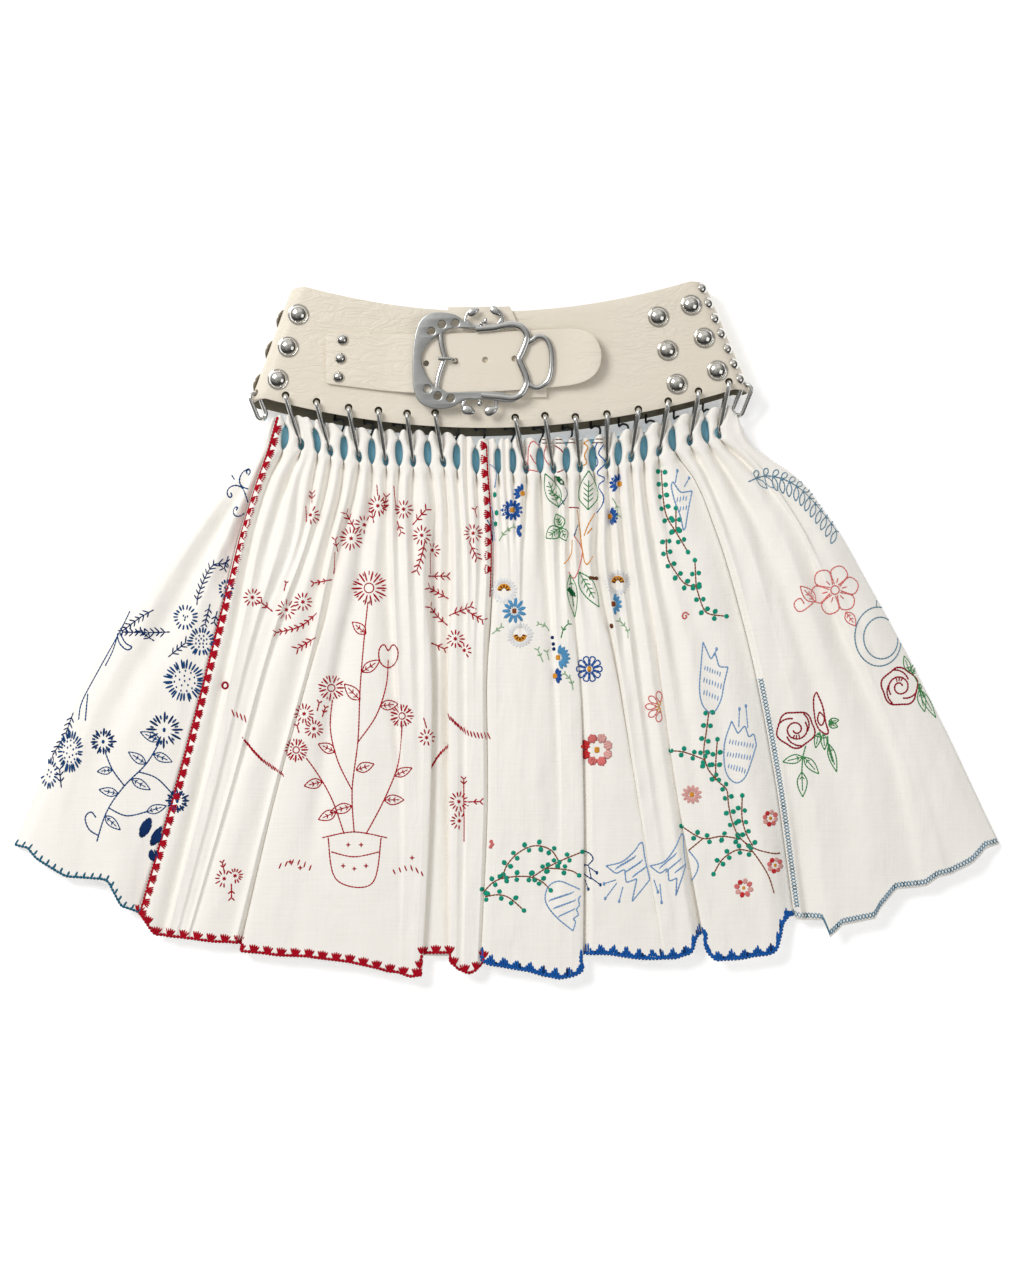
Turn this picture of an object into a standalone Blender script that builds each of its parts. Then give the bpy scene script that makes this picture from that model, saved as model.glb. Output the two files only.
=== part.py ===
# A gathered, embroidered linen skirt that hangs from a studded leather belt by wire links.
# It lies flat on its back: +Z up from the surface, +Y towards the waist, +X to the right.
# Tables are in millimetres, and everything is built in metres.
import math

import bmesh
import bpy
import numpy as np
from mathutils import Vector

MM = 0.001

# Driving sizes
SEAM_GAP = 0.3
CLOTH = 1.3
BACK_CLOTH = 1.5
TAPE = 1.2
LEATHER = 3.0
BELT_DEPTH = 28.0
ROLL = BELT_DEPTH / 2
LARGE_STUD = 18.0
SMALL_STUD = 10.0
LINK_WIRE = 4.0
LINK_HOLE = 6.6
STRAP_HOLE = 5.0
PLATE_HOLE = 6.5
CASTING = 3.5
CLOTH_EDGE = BACK_CLOTH + SEAM_GAP + CLOTH

COLOURS = {
    "linen": ((0.86, 0.83, 0.76), 0.9, 0.0),
    "tape": ((0.10, 0.42, 0.72), 0.5, 0.0),
    "leather": ((0.74, 0.66, 0.53), 0.55, 0.0),
    "nickel": ((0.62, 0.60, 0.56), 0.22, 1.0),
}

# Belt: the corners of its flattened band and how far its arcs hang below their chords
BELT_TOP_LEFT, BELT_TOP_RIGHT, BELT_TOP_SAG = (-186.5, 294.5), (170.5, 299.5), 23.5
BELT_LOW_LEFT, BELT_LOW_RIGHT, BELT_LOW_SAG = (-221.0, 199.0), (209.0, 207.5), 29.0
BACK_DROP_LEFT, BACK_DROP_RIGHT = 8.0, 3.0

# Links: the punched hole each one passes through, and the valley it ends in
LINKS = (
    # hole x, hole y, valley
    (-189.5, 201.5, "r2"),
    (-163.0, 196.0, "r5"),
    (-135.5, 191.0, "r7"),
    (-110.0, 188.5, "r9"),
    (-85.5, 186.0, "r11"),
    (-61.5, 186.5, "r13"),
    (7.0, 182.5, "b4"),
    (32.5, 184.0, "b6"),
    (58.5, 183.0, "b8"),
    (85.5, 185.5, "b10"),
    (112.5, 189.5, "b12"),
    (138.0, 196.5, "b14"),
    (164.0, 205.0, "s1"),
    (190.0, 213.0, "s3"),
)
LINK_END = 0.060

# Studs: first and last centre of each straight row, how many, and their width
STUD_ROWS = (
    # name, first, last, count, width
    ("stud_left", (-178.5, 271.0), (-196.0, 215.5), 3, LARGE_STUD),
    ("stud_inner", (129.5, 269.0), (145.5, 211.5), 3, LARGE_STUD),
    ("stud_outer", (157.5, 279.0), (180.0, 223.0), 3, LARGE_STUD),
)

# Folds: each row is the valley on the left of a fold of the front, from the left
# side to the right side. The plan x is given at FOLD_LEVELS, from the heading
# (0) to the hem (1), and the depth of the valley at DEPTH_LEVELS.
FOLD_LEVELS = (0.0, 0.06, 0.12, 0.22, 0.40, 0.70, 1.0)
DEPTH_LEVELS = (0.06, 0.22, 0.40, 0.70, 1.0)
FOLDS = (
    # name, opening, x at each level, depth at each level, left run, right run, lap
    ("side_left", "", (-207.5, -215.5, -239.5, -274.5, -321.5, -380.5, -425.5), (0, 0, 0, 0, 0), 0, 12, 0),
    ("a1", "", (-202.7, -211.0, -222.0, -244.5, -284.5, -346.0, -361.5), (0, 8, 8, 4, 2), 18, 16, 0),
    ("seam_left", "", (-198.0, -205.0, -214.5, -228.5, -247.5, -280.5, -317.5), (1.5, 7, 3, 2, 4), 14, 4, 0),
    ("r1", "oval", (-190.5, -191.5, -204.0, -218.0, -233.0, -262.5, -296.5), (9, 8, 6, 6, 8), 10, 5, 0),
    ("r2", "link", (-184.0, -176.5, -187.0, -201.0, -221.0, -253.0, -288.0), (9, 5, 1, 0, 0), 10, 8, 0),
    ("r3", "", (-175.0, -169.5, -177.0, -182.5, -212.0, -246.5, -283.0), (0, 4, 1, 0, 0), 8, 6, 0),
    ("r4", "oval", (-166.5, -162.5, -166.5, -174.5, -203.5, -240.0, -278.0), (9, 3, 0, 0, 0), 6, 6, 0),
    ("r5", "link", (-158.5, -151.5, -154.5, -166.5, -195.0, -233.5, -273.0), (9, 6, 4, 4, 4), 9, 5, 0),
    ("r6", "oval", (-140.0, -140.0, -142.5, -153.5, -169.5, -205.0, -240.0), (9, 8, 5, 3, 2), 16, 10, 0),
    ("r7", "link", (-133.0, -127.0, -130.5, -142.5, -160.0, -196.0, -227.5), (9, 9, 9, 12, 12), 16, 4, 2),
    ("r8", "oval", (-116.0, -116.0, -116.5, -122.5, -139.0, -162.5, -187.0), (9, 5, 6, 2, 0), 10, 14, 0),
    ("r9", "link", (-108.0, -104.0, -103.5, -103.0, -99.5, -92.0, -94.0), (9, 9, 7, 2, 0), 8, 5, 0),
    ("r10", "oval", (-93.5, -92.5, -94.0, -93.0, -90.0, -84.0, -87.5), (9, 4, 1, 0, 0), 5, 5, 0),
    ("r11", "link", (-83.0, -80.5, -81.5, -80.0, -76.5, -76.0, -81.5), (9, 5, 3, 0, 0), 6, 6, 0),
    ("r12", "oval", (-68.5, -67.5, -62.5, -64.5, -65.5, -68.0, -75.0), (9, 9, 10, 10, 11), 4, 6, -2),
    ("r13", "link", (-59.0, -54.5, -52.0, -50.0, -50.0, -49.0, -48.5), (9, 10, 10, 10, 11), 6, 3, 1),
    ("r14", "oval", (-43.0, -43.0, -41.0, -38.0, -37.0, -37.0, -39.5), (9, 6, 5, 3, 2), 6, 6, 0),
    ("r15", "", (-35.0, -35.0, -33.5, -30.5, -31.5, -31.5, -35.0), (5, 2, 0, 0, 0), 4, 4, 0),
    ("r16", "oval", (-27.0, -26.5, -25.0, -23.0, -26.0, -26.0, -30.5), (9, 4, 1, 0, 0), 4, 4, 0),
    ("seam_middle", "", (-16.0, -15.0, -13.0, -12.0, -15.0, -14.5, -20.5), (8, 10, 9, 9, 10), 5, 3, 2),
    ("b1", "oval", (-8.0, -7.5, -5.5, -2.0, -4.0, -4.0, -9.5), (9, 0, 0, 0, 0), 4, 4, 0),
    ("b2", "", (-1.5, -1.0, 0.5, 3.0, 1.5, 1.5, -3.0), (5, 1, 0, 0, 0), 4, 4, 0),
    ("b3", "oval", (4.0, 5.0, 6.5, 8.0, 7.0, 7.0, 4.0), (9, 0, 0, 0, 0), 4, 4, 0),
    ("b4", "link", (10.7, 16.5, 16.0, 14.0, 13.0, 13.0, 11.0), (9, 4, 0, 0, 0), 5, 5, 0),
    ("b5", "oval", (28.0, 28.5, 30.0, 33.5, 39.5, 44.0, 37.0), (9, 7, 4, 1, 0), 6, 8, 0),
    ("b6", "link", (35.5, 40.0, 44.0, 45.5, 47.5, 51.5, 50.0), (9, 4, 0, 0, 0), 5, 5, 0),
    ("b7", "oval", (51.0, 51.0, 52.5, 53.5, 59.5, 64.0, 63.5), (9, 9, 5, 10, 12), 5, 14, -2),
    ("b8", "link", (60.5, 62.5, 62.0, 63.5, 73.0, 80.0, 80.0), (9, 4, 0, 0, 0), 4, 5, 0),
    ("b9", "oval", (73.0, 74.0, 78.0, 76.5, 89.5, 111.0, 133.0), (9, 10, 10, 7, 4), 4, 7, -1),
    ("b10", "link", (86.0, 86.0, 87.5, 90.0, 100.5, 119.5, 141.0), (9, 10, 3, 0, 0), 5, 4, 0),
    ("b11", "oval", (95.5, 95.5, 96.5, 101.0, 111.5, 130.0, 150.0), (9, 7, 5, 2, 0), 8, 8, 0),
    ("b12", "link", (110.0, 106.5, 108.5, 113.5, 127.5, 147.0, 171.5), (9, 5, 5, 6, 11), 12, 4, 1),
    ("b13", "oval", (117.5, 117.5, 119.0, 127.0, 142.5, 168.0, 190.5), (9, 6, 4, 1, 0), 8, 8, 0),
    ("b14", "link", (135.0, 130.5, 131.0, 141.5, 166.0, 196.0, 218.0), (9, 2, 1, 2, 0), 8, 8, 0),
    ("seam_right", "oval", (142.0, 143.0, 160.5, 178.5, 202.0, 229.0, 247.5), (9, 9, 7, 6, 9), 14, 5, 0),
    ("s1", "link", (161.5, 157.0, 170.0, 189.0, 213.0, 242.0, 259.5), (9, 3, 0, 1, 6), 8, 12, 0),
    ("s2", "oval", (169.5, 171.5, 188.0, 213.5, 244.0, 278.0, 302.5), (9, 7, 5, 2, 1), 14, 14, 0),
    ("s3", "link", (186.5, 181.5, 206.5, 240.5, 274.0, 325.0, 352.0), (9, 9, 8, 4, 3), 16, 14, 0),
    ("s4", "", (193.5, 197.0, 218.5, 247.0, 286.0, 342.5, 377.5), (1, 3, 0, 0, 0), 6, 6, 0),
    ("side_right", "", (200.5, 214.5, 246.0, 276.5, 315.5, 373.5, 425.5), (0, 0, 0, 0, 0), 12, 0, 0),
)
# How high a fold's crown stands in the gather and in the skirt, where it isn't full
LOW_CROWNS = {"r12": (0.9, 0.55), "r3": (1.0, 0.8), "side_left": (1.0, 0.9)}

# Outlines of the cloth
HEADING = ((-210, 172.5), (-198, 184.5), (-184, 185.5), (-166, 182), (-143, 176), (-113, 173), (-70, 172),
           (-45, 169.5), (-23, 164.5), (32, 166), (67, 165.5), (101, 172.5), (122, 177), (149, 185),
           (171, 191), (190, 193), (200.5, 180))
HEM = ((-425.5, -185), (-407.5, -197), (-378.5, -207.5), (-350, -217), (-320.5, -238), (-316.5, -244.5),
       (-299, -262), (-264.5, -266), (-228.5, -269), (-226.5, -275.5), (-139, -285), (-92, -294.5),
       (-83, -298), (-76, -296.5), (-73.5, -278), (-49, -278), (-43, -291), (-32, -295.5), (-21.5, -288),
       (-20, -279), (-15, -287), (20, -293), (45, -299.5), (57.5, -296.5), (62.5, -287), (63.5, -278),
       (88, -278), (115.5, -282.5), (147.5, -281.5), (157.5, -275), (170.5, -259.5), (177.5, -278),
       (181, -283.5), (211, -281), (233.5, -275), (241, -263), (246.5, -244), (249, -248),
       (263.5, -249), (276.5, -263.5), (297, -255), (317, -238), (346.5, -223), (376, -211),
       (405, -200), (425.5, -184))
BACK_HEM = ((-425, -184), (-351, -214.5), (-308.5, -236.5), (-228.5, -263.5), (-144.5, -275.5),
            (-61.5, -281), (11, -278), (80.5, -275.5), (132.5, -273), (171, -256), (218.5, -253),
            (258.5, -243), (314, -230.5), (374.5, -208), (425, -183))

# Heights of the front: crowns of the folds, and the curl of the sides down to the floor
CROWN_LEVELS, CROWN_HEIGHTS = (0.0, 0.06, 0.2, 0.5, 1.0), (26.0, 24.0, 22.0, 18.0, 15.0)
VALLEY_LEVELS, VALLEY_HEIGHTS = (0.0, 0.045, 0.07), (18.0, 15.3, 15.0)
CURL_LEVELS, CURL_WIDTHS = (0.0, 0.04, 0.12, 0.3, 1.0), (7.0, 10.0, 34.0, 50.0, 60.0)
CLOTH_ROWS = (0.0, 0.018, 0.040, 0.064, 0.09, 0.13, 0.18, 0.25, 0.34, 0.45, 0.58, 0.72, 0.86, 1.0)
TAPE_ROWS = (0.012, 0.044, 0.067)
OVAL_HALF = (0.0, 2.0, 3.1, 1.8)
HEADING_END = 0.10
GATHER_RUN = 0.25
LINK_HALF = 4.0
SHOULDER = 0.72
LOBE_NOTCH = 7.0


def lerp(a, b, t):
    return a + (b - a) * t


def fade(low, high, value):
    t = min(max((value - low) / (high - low), 0.0), 1.0)
    return t * t * (3 - 2 * t)


def curve_through(levels, values, level):
    """Smooth curve through the values given at rising levels."""
    if level <= levels[0]:
        return values[0]
    slopes = np.gradient(np.array(values, float), np.array(levels, float))
    for i in range(len(levels) - 1):
        if level <= levels[i + 1]:
            span = levels[i + 1] - levels[i]
            t = (level - levels[i]) / span
            start = (2 * t ** 3 - 3 * t ** 2 + 1) * values[i] + (t ** 3 - 2 * t ** 2 + t) * span * slopes[i]
            end = (3 * t ** 2 - 2 * t ** 3) * values[i + 1] + (t ** 3 - t ** 2) * span * slopes[i + 1]
            return start + end
    return values[-1]


def outline_y(outline, x):
    return float(np.interp(x, [p[0] for p in outline], [p[1] for p in outline]))


def fold_x(fold, level):
    return curve_through(FOLD_LEVELS, fold[2], level)


def side_factor(x, level):
    """1 in the middle of the front, falling to 0 where a side turns down to the back."""
    width = curve_through(CURL_LEVELS, CURL_WIDTHS, level)
    inside = min(x - fold_x(FOLDS[0], level), fold_x(FOLDS[-1], level) - x)
    t = min(max(inside / width, 0.0), 1.0)
    return math.sqrt(1 - (1 - t) ** 2)


def crown_height(index, x, level):
    gathered, loose = LOW_CROWNS.get(FOLDS[index][0], (1.0, 1.0))
    rise = lerp(gathered, loose, fade(0.12, 0.4, level))
    full = curve_through(CROWN_LEVELS, CROWN_HEIGHTS, level) * rise
    return lerp(CLOTH_EDGE, full, side_factor(x, level))


def valley_height(index, level):
    """Height of the valley on the left of fold number index."""
    if index in (0, len(FOLDS) - 1):
        return CLOTH_EDGE
    x = fold_x(FOLDS[index], level)
    beside = (crown_height(index - 1, x, level) + crown_height(index, x, level)) / 2
    depth = curve_through(DEPTH_LEVELS, FOLDS[index][3], level) * side_factor(x, level)
    narrow = min(x - fold_x(FOLDS[index - 1], level), fold_x(FOLDS[index + 1], level) - x)
    depth = max(min(depth, 0.85 * (narrow - 2.5)), 0.0)
    height = beside - depth
    if FOLDS[index][1] and level < HEADING_END:
        pinched = lerp(CLOTH_EDGE, curve_through(VALLEY_LEVELS, VALLEY_HEIGHTS, level), side_factor(x, level))
        height = lerp(pinched, height, fade(0.075, HEADING_END, level))
    return max(height, CLOTH_EDGE)


def fold_run(run, width, level):
    """Plan width of a fold's side: a share of the lobe in the gather, its own run below."""
    return lerp(GATHER_RUN * width, min(run, 0.35 * width), fade(0.08, 0.3, level))


def front_row(level):
    """Points across the front at one level: valley, shoulder, crown, shoulder, and so on."""
    row = []
    laps = fade(0.25, 0.5, level)
    for k in range(len(FOLDS) - 1):
        left, right = fold_x(FOLDS[k], level), fold_x(FOLDS[k + 1], level)
        width = right - left
        low_left, low_right = valley_height(k, level), valley_height(k + 1, level)
        x1 = left + fold_run(FOLDS[k][5], width, level)
        x3 = right - fold_run(FOLDS[k + 1][4], width, level)
        crown_x = (x1 + x3) / 2
        crown = max(crown_height(k, crown_x, level), (low_left + low_right) / 2)
        z1, z3 = lerp(low_left, crown, SHOULDER), lerp(low_right, crown, SHOULDER)
        if level in CLOTH_ROWS[:4]:
            widths = {"oval": OVAL_HALF[CLOTH_ROWS.index(level)], "link": LINK_HALF, "": 0.0}
            x1 = left + min(widths[FOLDS[k][1]], 0.3 * width) if widths[FOLDS[k][1]] else x1
            x3 = right - min(widths[FOLDS[k + 1][1]], 0.3 * width) if widths[FOLDS[k + 1][1]] else x3
            z1 = lerp(low_left, crown, 0.5) if FOLDS[k][1] == "link" else z1
            z3 = lerp(low_right, crown, 0.5) if FOLDS[k + 1][1] == "link" else z3
        if FOLDS[k][6] > 0:
            x1 = lerp(x1, left - FOLDS[k][6], laps)
            z1 = lerp(z1, crown - 1.5, laps)
        if FOLDS[k + 1][6] < 0:
            x3 = lerp(x3, right - FOLDS[k + 1][6], laps)
            z3 = lerp(z3, crown - 1.5, laps)
        row += [(left, low_left), (x1, z1), (crown_x, crown), (x3, z3)]
    row.append((fold_x(FOLDS[-1], level), CLOTH_EDGE))
    return row


def nominal_x(column, level):
    """Plan x that decides a column's hem: just inside its own fold, so that steps stay crisp."""
    k, part = divmod(column, 4)
    if part == 0:
        return fold_x(FOLDS[k], level)
    left, right = fold_x(FOLDS[k], level), fold_x(FOLDS[k + 1], level)
    reach = min(3.5, (right - left) * 0.3)
    return (left + reach, (left + right) / 2, right - reach)[part - 1]


def lobe_notch(column):
    """How far the gathered edge drops between two lobes."""
    k, part = divmod(column, 4)
    deep = [LOBE_NOTCH if FOLDS[min(n, len(FOLDS) - 1)][1] else 1.0 for n in (k, k + 1)]
    return (deep[0], 0.28 * deep[0], 0.0, 0.28 * deep[1])[part]


def front_net():
    """All points of the front's outer face, by row and column."""
    columns = 4 * (len(FOLDS) - 1) + 1
    head = [outline_y(HEADING, nominal_x(c, 0.0)) for c in range(columns)]
    hem = [outline_y(HEM, nominal_x(c, 1.0)) for c in range(columns)]
    net = []
    for level in CLOTH_ROWS:
        points = []
        for c, (x, z) in enumerate(front_row(level)):
            y = lerp(head[c], hem[c], level)
            if level == 0.0:
                y -= lobe_notch(c)
            points.append((x, y, z))
        net.append(points)
    return net


def new_object(name, mesh, colour):
    obj = bpy.data.objects.new(name, mesh)
    parts.objects.link(obj)
    material = bpy.data.materials.new(name)
    material.use_nodes = True
    shader = material.node_tree.nodes["Principled BSDF"]
    rgb, roughness, metallic = COLOURS[colour]
    shader.inputs["Base Color"].default_value = (*rgb, 1.0)
    shader.inputs["Roughness"].default_value = roughness
    shader.inputs["Metallic"].default_value = metallic
    obj.data.materials.clear()
    obj.data.materials.append(material)
    return obj


def grid_mesh(name, rows, closed=False, skip=()):
    """Mesh of quads through rows of points in millimetres, facing up where x rises along a
    row and y falls from row to row; skip lists the (row, column) quads that stay open."""
    count = len(rows[0])
    points = [tuple(c * MM for c in p) for row in rows for p in row]
    last = count if closed else count - 1
    faces = [(j * count + i, (j + 1) * count + i, (j + 1) * count + (i + 1) % count, j * count + (i + 1) % count)
             for j in range(len(rows) - 1) for i in range(last) if (j, i) not in skip]
    mesh = bpy.data.meshes.new(name)
    mesh.from_pydata(points, [], faces)
    bm = bmesh.new()
    bm.from_mesh(mesh)
    bmesh.ops.delete(bm, geom=[v for v in bm.verts if not v.link_faces], context="VERTS")
    bm.to_mesh(mesh)
    bm.free()
    mesh.shade_smooth()
    return mesh


def thicken(obj, thickness, even=True):
    solid = obj.modifiers.new("wall", "SOLIDIFY")
    solid.thickness = thickness * MM
    solid.offset = -1.0
    solid.use_even_offset = even
    solid.use_quality_normals = True
    return solid


def baked(obj):
    """The object's evaluated mesh, welded, in place of its modifiers or curve."""
    bpy.context.view_layer.update()
    depsgraph = bpy.context.evaluated_depsgraph_get()
    mesh = bpy.data.meshes.new_from_object(obj.evaluated_get(depsgraph))
    bm = bmesh.new()
    bm.from_mesh(mesh)
    bmesh.ops.remove_doubles(bm, verts=bm.verts, dist=0.01 * MM)
    bmesh.ops.recalc_face_normals(bm, faces=bm.faces)
    bm.to_mesh(mesh)
    bm.free()
    return mesh


def make_front_panels():
    net = front_net()
    names = [fold[0] for fold in FOLDS]
    limits = [0] + [4 * names.index(seam) for seam in ("seam_left", "seam_middle", "seam_right")]
    limits.append(4 * (len(FOLDS) - 1))
    for number, name in enumerate(("panel_left", "panel_red", "panel_blue", "panel_right")):
        first, last = limits[number], limits[number + 1]
        rows = [list(row[first:last + 1]) for row in net]
        for row in rows:
            if number > 0:
                row[0] = (row[0][0] + SEAM_GAP / 2, row[0][1], row[0][2])
            if number < 3:
                row[-1] = (row[-1][0] - SEAM_GAP / 2, row[-1][1], row[-1][2])
        skip = set()
        for k, fold in enumerate(FOLDS):
            openings = {"oval": (1, 2), "link": (2,), "": ()}[fold[1]]
            skip |= {(j, c - first) for j in openings for c in (4 * k - 1, 4 * k)}
        panel = new_object(name, grid_mesh(name, rows, skip=skip), "linen")
        thicken(panel, CLOTH, even=False)


def make_back():
    rows = []
    columns = 18
    for level in (0.02, 0.06, 0.12, 0.22, 0.4, 0.6, 0.8, 1.0):
        left, right = fold_x(FOLDS[0], level), fold_x(FOLDS[-1], level)
        low_left, low_right = fold_x(FOLDS[0], 1.0), fold_x(FOLDS[-1], 1.0)
        top_left, top_right = fold_x(FOLDS[0], 0.0), fold_x(FOLDS[-1], 0.0)
        row = []
        for i in range(columns + 1):
            t = i / columns
            top = outline_y(HEADING, lerp(top_left, top_right, t)) - LOBE_NOTCH
            hem = outline_y(BACK_HEM, lerp(low_left, low_right, t))
            row.append((lerp(left, right, t), lerp(top, hem, level), BACK_CLOTH))
        rows.append(row)
    back = new_object("skirt_back", grid_mesh("skirt_back", rows), "linen")
    thicken(back, BACK_CLOTH)


def make_heading_tape():
    """A band round the inside of the gathers, seen through the openings between the lobes."""
    inset, drop = 4.5, 1.75
    folds = [k for k, fold in enumerate(FOLDS) if fold[1]]
    stations = [(k, side) for k in folds for side in (-3.1, 3.1)]
    rows, skip = [], set()
    for j, level in enumerate(TAPE_ROWS):
        row = []
        for k, side in stations:
            x = fold_x(FOLDS[k], level) + side
            head, hem = outline_y(HEADING, fold_x(FOLDS[k], 0.0)), outline_y(HEM, fold_x(FOLDS[k], 1.0))
            row.append((x, lerp(head, hem, level), curve_through(VALLEY_LEVELS, VALLEY_HEIGHTS, level) - drop))
            if FOLDS[k][1] == "link" and side < 0:
                skip.add((1, len(row) - 1))
        left, right = row[0], row[-1]
        turn_left, turn_right = left[0] - inset, right[0] + inset
        row.append((turn_right, right[1], 5.0))
        back = [(lerp(turn_right, turn_left, t), lerp(right[1], left[1], t), BACK_CLOTH + SEAM_GAP)
                for t in (0.02, 0.15, 0.32, 0.5, 0.68, 0.85, 0.98)]
        for n, point in enumerate(back):
            sag = math.sin(math.pi * n / (len(back) - 1)) * 18
            row.append((point[0], point[1] - sag, point[2]))
        row.append((turn_left, left[1], 5.0))
        rows.append(row)
    tape = new_object("heading_tape", grid_mesh("heading_tape", rows, closed=True, skip=skip), "tape")
    thicken(tape, TAPE, even=False)


def belt_plan(s, h):
    """Plan point of the belt's front: s from its left edge to its right, h from top to bottom."""
    left = [lerp(a, b, h) for a, b in zip(BELT_TOP_LEFT, BELT_LOW_LEFT)]
    right = [lerp(a, b, h) for a, b in zip(BELT_TOP_RIGHT, BELT_LOW_RIGHT)]
    edge = roll_share(h)
    along = min(max((s - edge) / (1 - 2 * edge), 0.0), 1.0)
    sag = lerp(BELT_TOP_SAG, BELT_LOW_SAG, h)
    return lerp(left[0], right[0], s), lerp(left[1], right[1], s) - sag * 4 * along * (1 - along)


def belt_point(s, h, turn):
    """Point on the belt's outer face. turn is 0 on the front, 180 on the back, and between
    them on the roll at the nearer side."""
    angle = math.radians(turn)
    x, y = belt_plan(s, h)
    side = -1 if s < 0.5 else 1
    drop = lerp(BACK_DROP_LEFT, BACK_DROP_RIGHT, s) * (1 - math.cos(angle)) / 2
    return x + side * ROLL * math.sin(angle), y - drop, ROLL + ROLL * math.cos(angle)


def roll_spot(side, h, turn):
    """Point on the roll at one side (-1 left, 1 right), and the outward normal there."""
    s = [roll_share(level) if side < 0 else 1 - roll_share(level) for level in (h, h + 0.01)]
    point = Vector(belt_point(s[0], h, turn))
    down = Vector(belt_point(s[1], h + 0.01, turn)) - point
    round_it = Vector(belt_point(s[0], h, turn + 1.0)) - point
    normal = (round_it.cross(down) * -side).normalized()
    return point, normal, down.normalized()


def roll_share(h):
    return ROLL / (lerp(BELT_TOP_RIGHT[0], BELT_LOW_RIGHT[0], h) - lerp(BELT_TOP_LEFT[0], BELT_LOW_LEFT[0], h))


def make_belt():
    front_columns, roll_steps, back_columns = 16, 6, 8
    rows = []
    for h in (0.0, 0.5, 1.0):
        edge = roll_share(h)
        across = [lerp(edge, 1 - edge, i / front_columns) for i in range(front_columns + 1)]
        row = [belt_point(s, h, 0) for s in across]
        row += [belt_point(1 - edge, h, 180 * i / roll_steps) for i in range(1, roll_steps)]
        row += [belt_point(lerp(1 - edge, edge, i / back_columns), h, 180) for i in range(back_columns + 1)]
        row += [belt_point(edge, h, 180 - 180 * i / roll_steps) for i in range(1, roll_steps)]
        rows.append(row)
    belt = new_object("belt", grid_mesh("belt", rows, closed=True), "leather")
    thicken(belt, LEATHER)
    bm = bmesh.new()
    for x, y, *_ in LINKS:
        add_cylinder(bm, (x, y + 0.4, BELT_DEPTH - LEATHER / 2), Vector((0, 0, 1)), LINK_HOLE / 2, 8.0)
    for _, side, h, turn, _ in EDGE_LINKS:
        point, normal, _ = roll_spot(side, h, turn)
        add_cylinder(bm, point - normal * LEATHER / 2, normal, LINK_HOLE / 2, 9.0)
    mesh = bpy.data.meshes.new("belt_punch")
    bm.to_mesh(mesh)
    bm.free()
    punch = bpy.data.objects.new("belt_punch", mesh)
    cutters.objects.link(punch)
    punch.hide_render = True
    punch.display_type = "WIRE"
    cut = belt.modifiers.new("link holes", "BOOLEAN")
    cut.operation = "DIFFERENCE"
    cut.object = punch


def add_cylinder(bm, centre, axis, radius, length, sides=8):
    turn = axis.normalized().to_track_quat("Z", "Y").to_matrix().to_4x4()
    turn.translation = Vector(centre) * MM
    bmesh.ops.create_cone(bm, cap_ends=True, segments=sides, radius1=radius * MM, radius2=radius * MM,
                          depth=length * MM, matrix=turn)


def stud_mesh(name, profile, steps):
    mesh = bpy.data.meshes.new(name)
    points = [(r * MM, 0.0, z * MM) for r, z in profile]
    mesh.from_pydata(points, [(i, i + 1) for i in range(len(points) - 1)], [])
    obj = bpy.data.objects.new(name, mesh)
    parts.objects.link(obj)
    screw = obj.modifiers.new("turn", "SCREW")
    screw.steps = screw.render_steps = steps
    screw.use_merge_vertices = True
    screw.merge_threshold = 0.00001
    result = baked(obj)
    bpy.data.objects.remove(obj)
    result.shade_smooth()
    result.set_sharp_from_angle(angle=math.radians(40))
    return result


def place_stud(name, mesh, point, normal):
    stud = new_object(name, mesh.copy(), "nickel")
    stud.location = (Vector(point) + normal * SEAM_GAP) * MM
    stud.rotation_mode = "QUATERNION"
    stud.rotation_quaternion = normal.to_track_quat("Z", "Y")
    return stud


def make_studs():
    large = stud_mesh("large", ((0, 5.0), (4.6, 4.1), (7.8, 1.4), (9.0, 0.8), (9.0, 0), (0, 0)), 12)
    small = stud_mesh("small", ((0, 3.2), (3.0, 2.4), (5.0, 0.5), (5.0, 0), (0, 0)), 8)
    up = Vector((0, 0, 1))
    for name, first, last, count, _ in STUD_ROWS:
        for i in range(count):
            x, y = (lerp(a, b, i / (count - 1)) for a, b in zip(first, last))
            place_stud(f"{name}_{i + 1}", large, (x, y, BELT_DEPTH), up)
    for i, h in enumerate(EDGE_STUDS):
        point, normal, _ = roll_spot(-1, h, EDGE_STUD_TURN)
        place_stud(f"stud_edge_{i + 1}", large, point, normal)
    for i in range(SMALL_STUDS):
        h = lerp(SMALL_STUD_FIRST, SMALL_STUD_LAST, i / (SMALL_STUDS - 1))
        point, normal, _ = roll_spot(1, h, SMALL_STUD_TURN)
        place_stud(f"stud_small_{i + 1}", small, point, normal)
    for i in range(3):
        x, y = (lerp(a, b, i / 2) for a, b in zip(RIVET_FIRST, RIVET_LAST))
        place_stud(f"strap_rivet_{i + 1}", small, (x, y, STRAP_LEFT_Z + LEATHER), up)


def link_points(hole, end):
    """Centre line of a pear-shaped link, upright through its hole and its valley."""
    along = (end - hole).normalized()
    length = (end - hole).length - LINK_WIRE / 2
    profile = [(t, z) for t, z in LINK_TOP] + [(length + t, z) for t, z in LINK_LOW]
    return [Vector((*(hole + along * t).xy, z)) for t, z in profile]


def loop_points(top, bottom, normal, radius, steps=5):
    """Centre line of a round-ended link with two straight arms."""
    along = (bottom - top).normalized()
    across = (normal - along * normal.dot(along)).normalized()
    points = []
    for centre, start in ((bottom, 0), (top, 180)):
        for i in range(steps + 1):
            angle = math.radians(start + 180 * i / steps)
            points.append(centre + across * radius * math.cos(angle) + along * radius * math.sin(angle))
    return points


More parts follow.
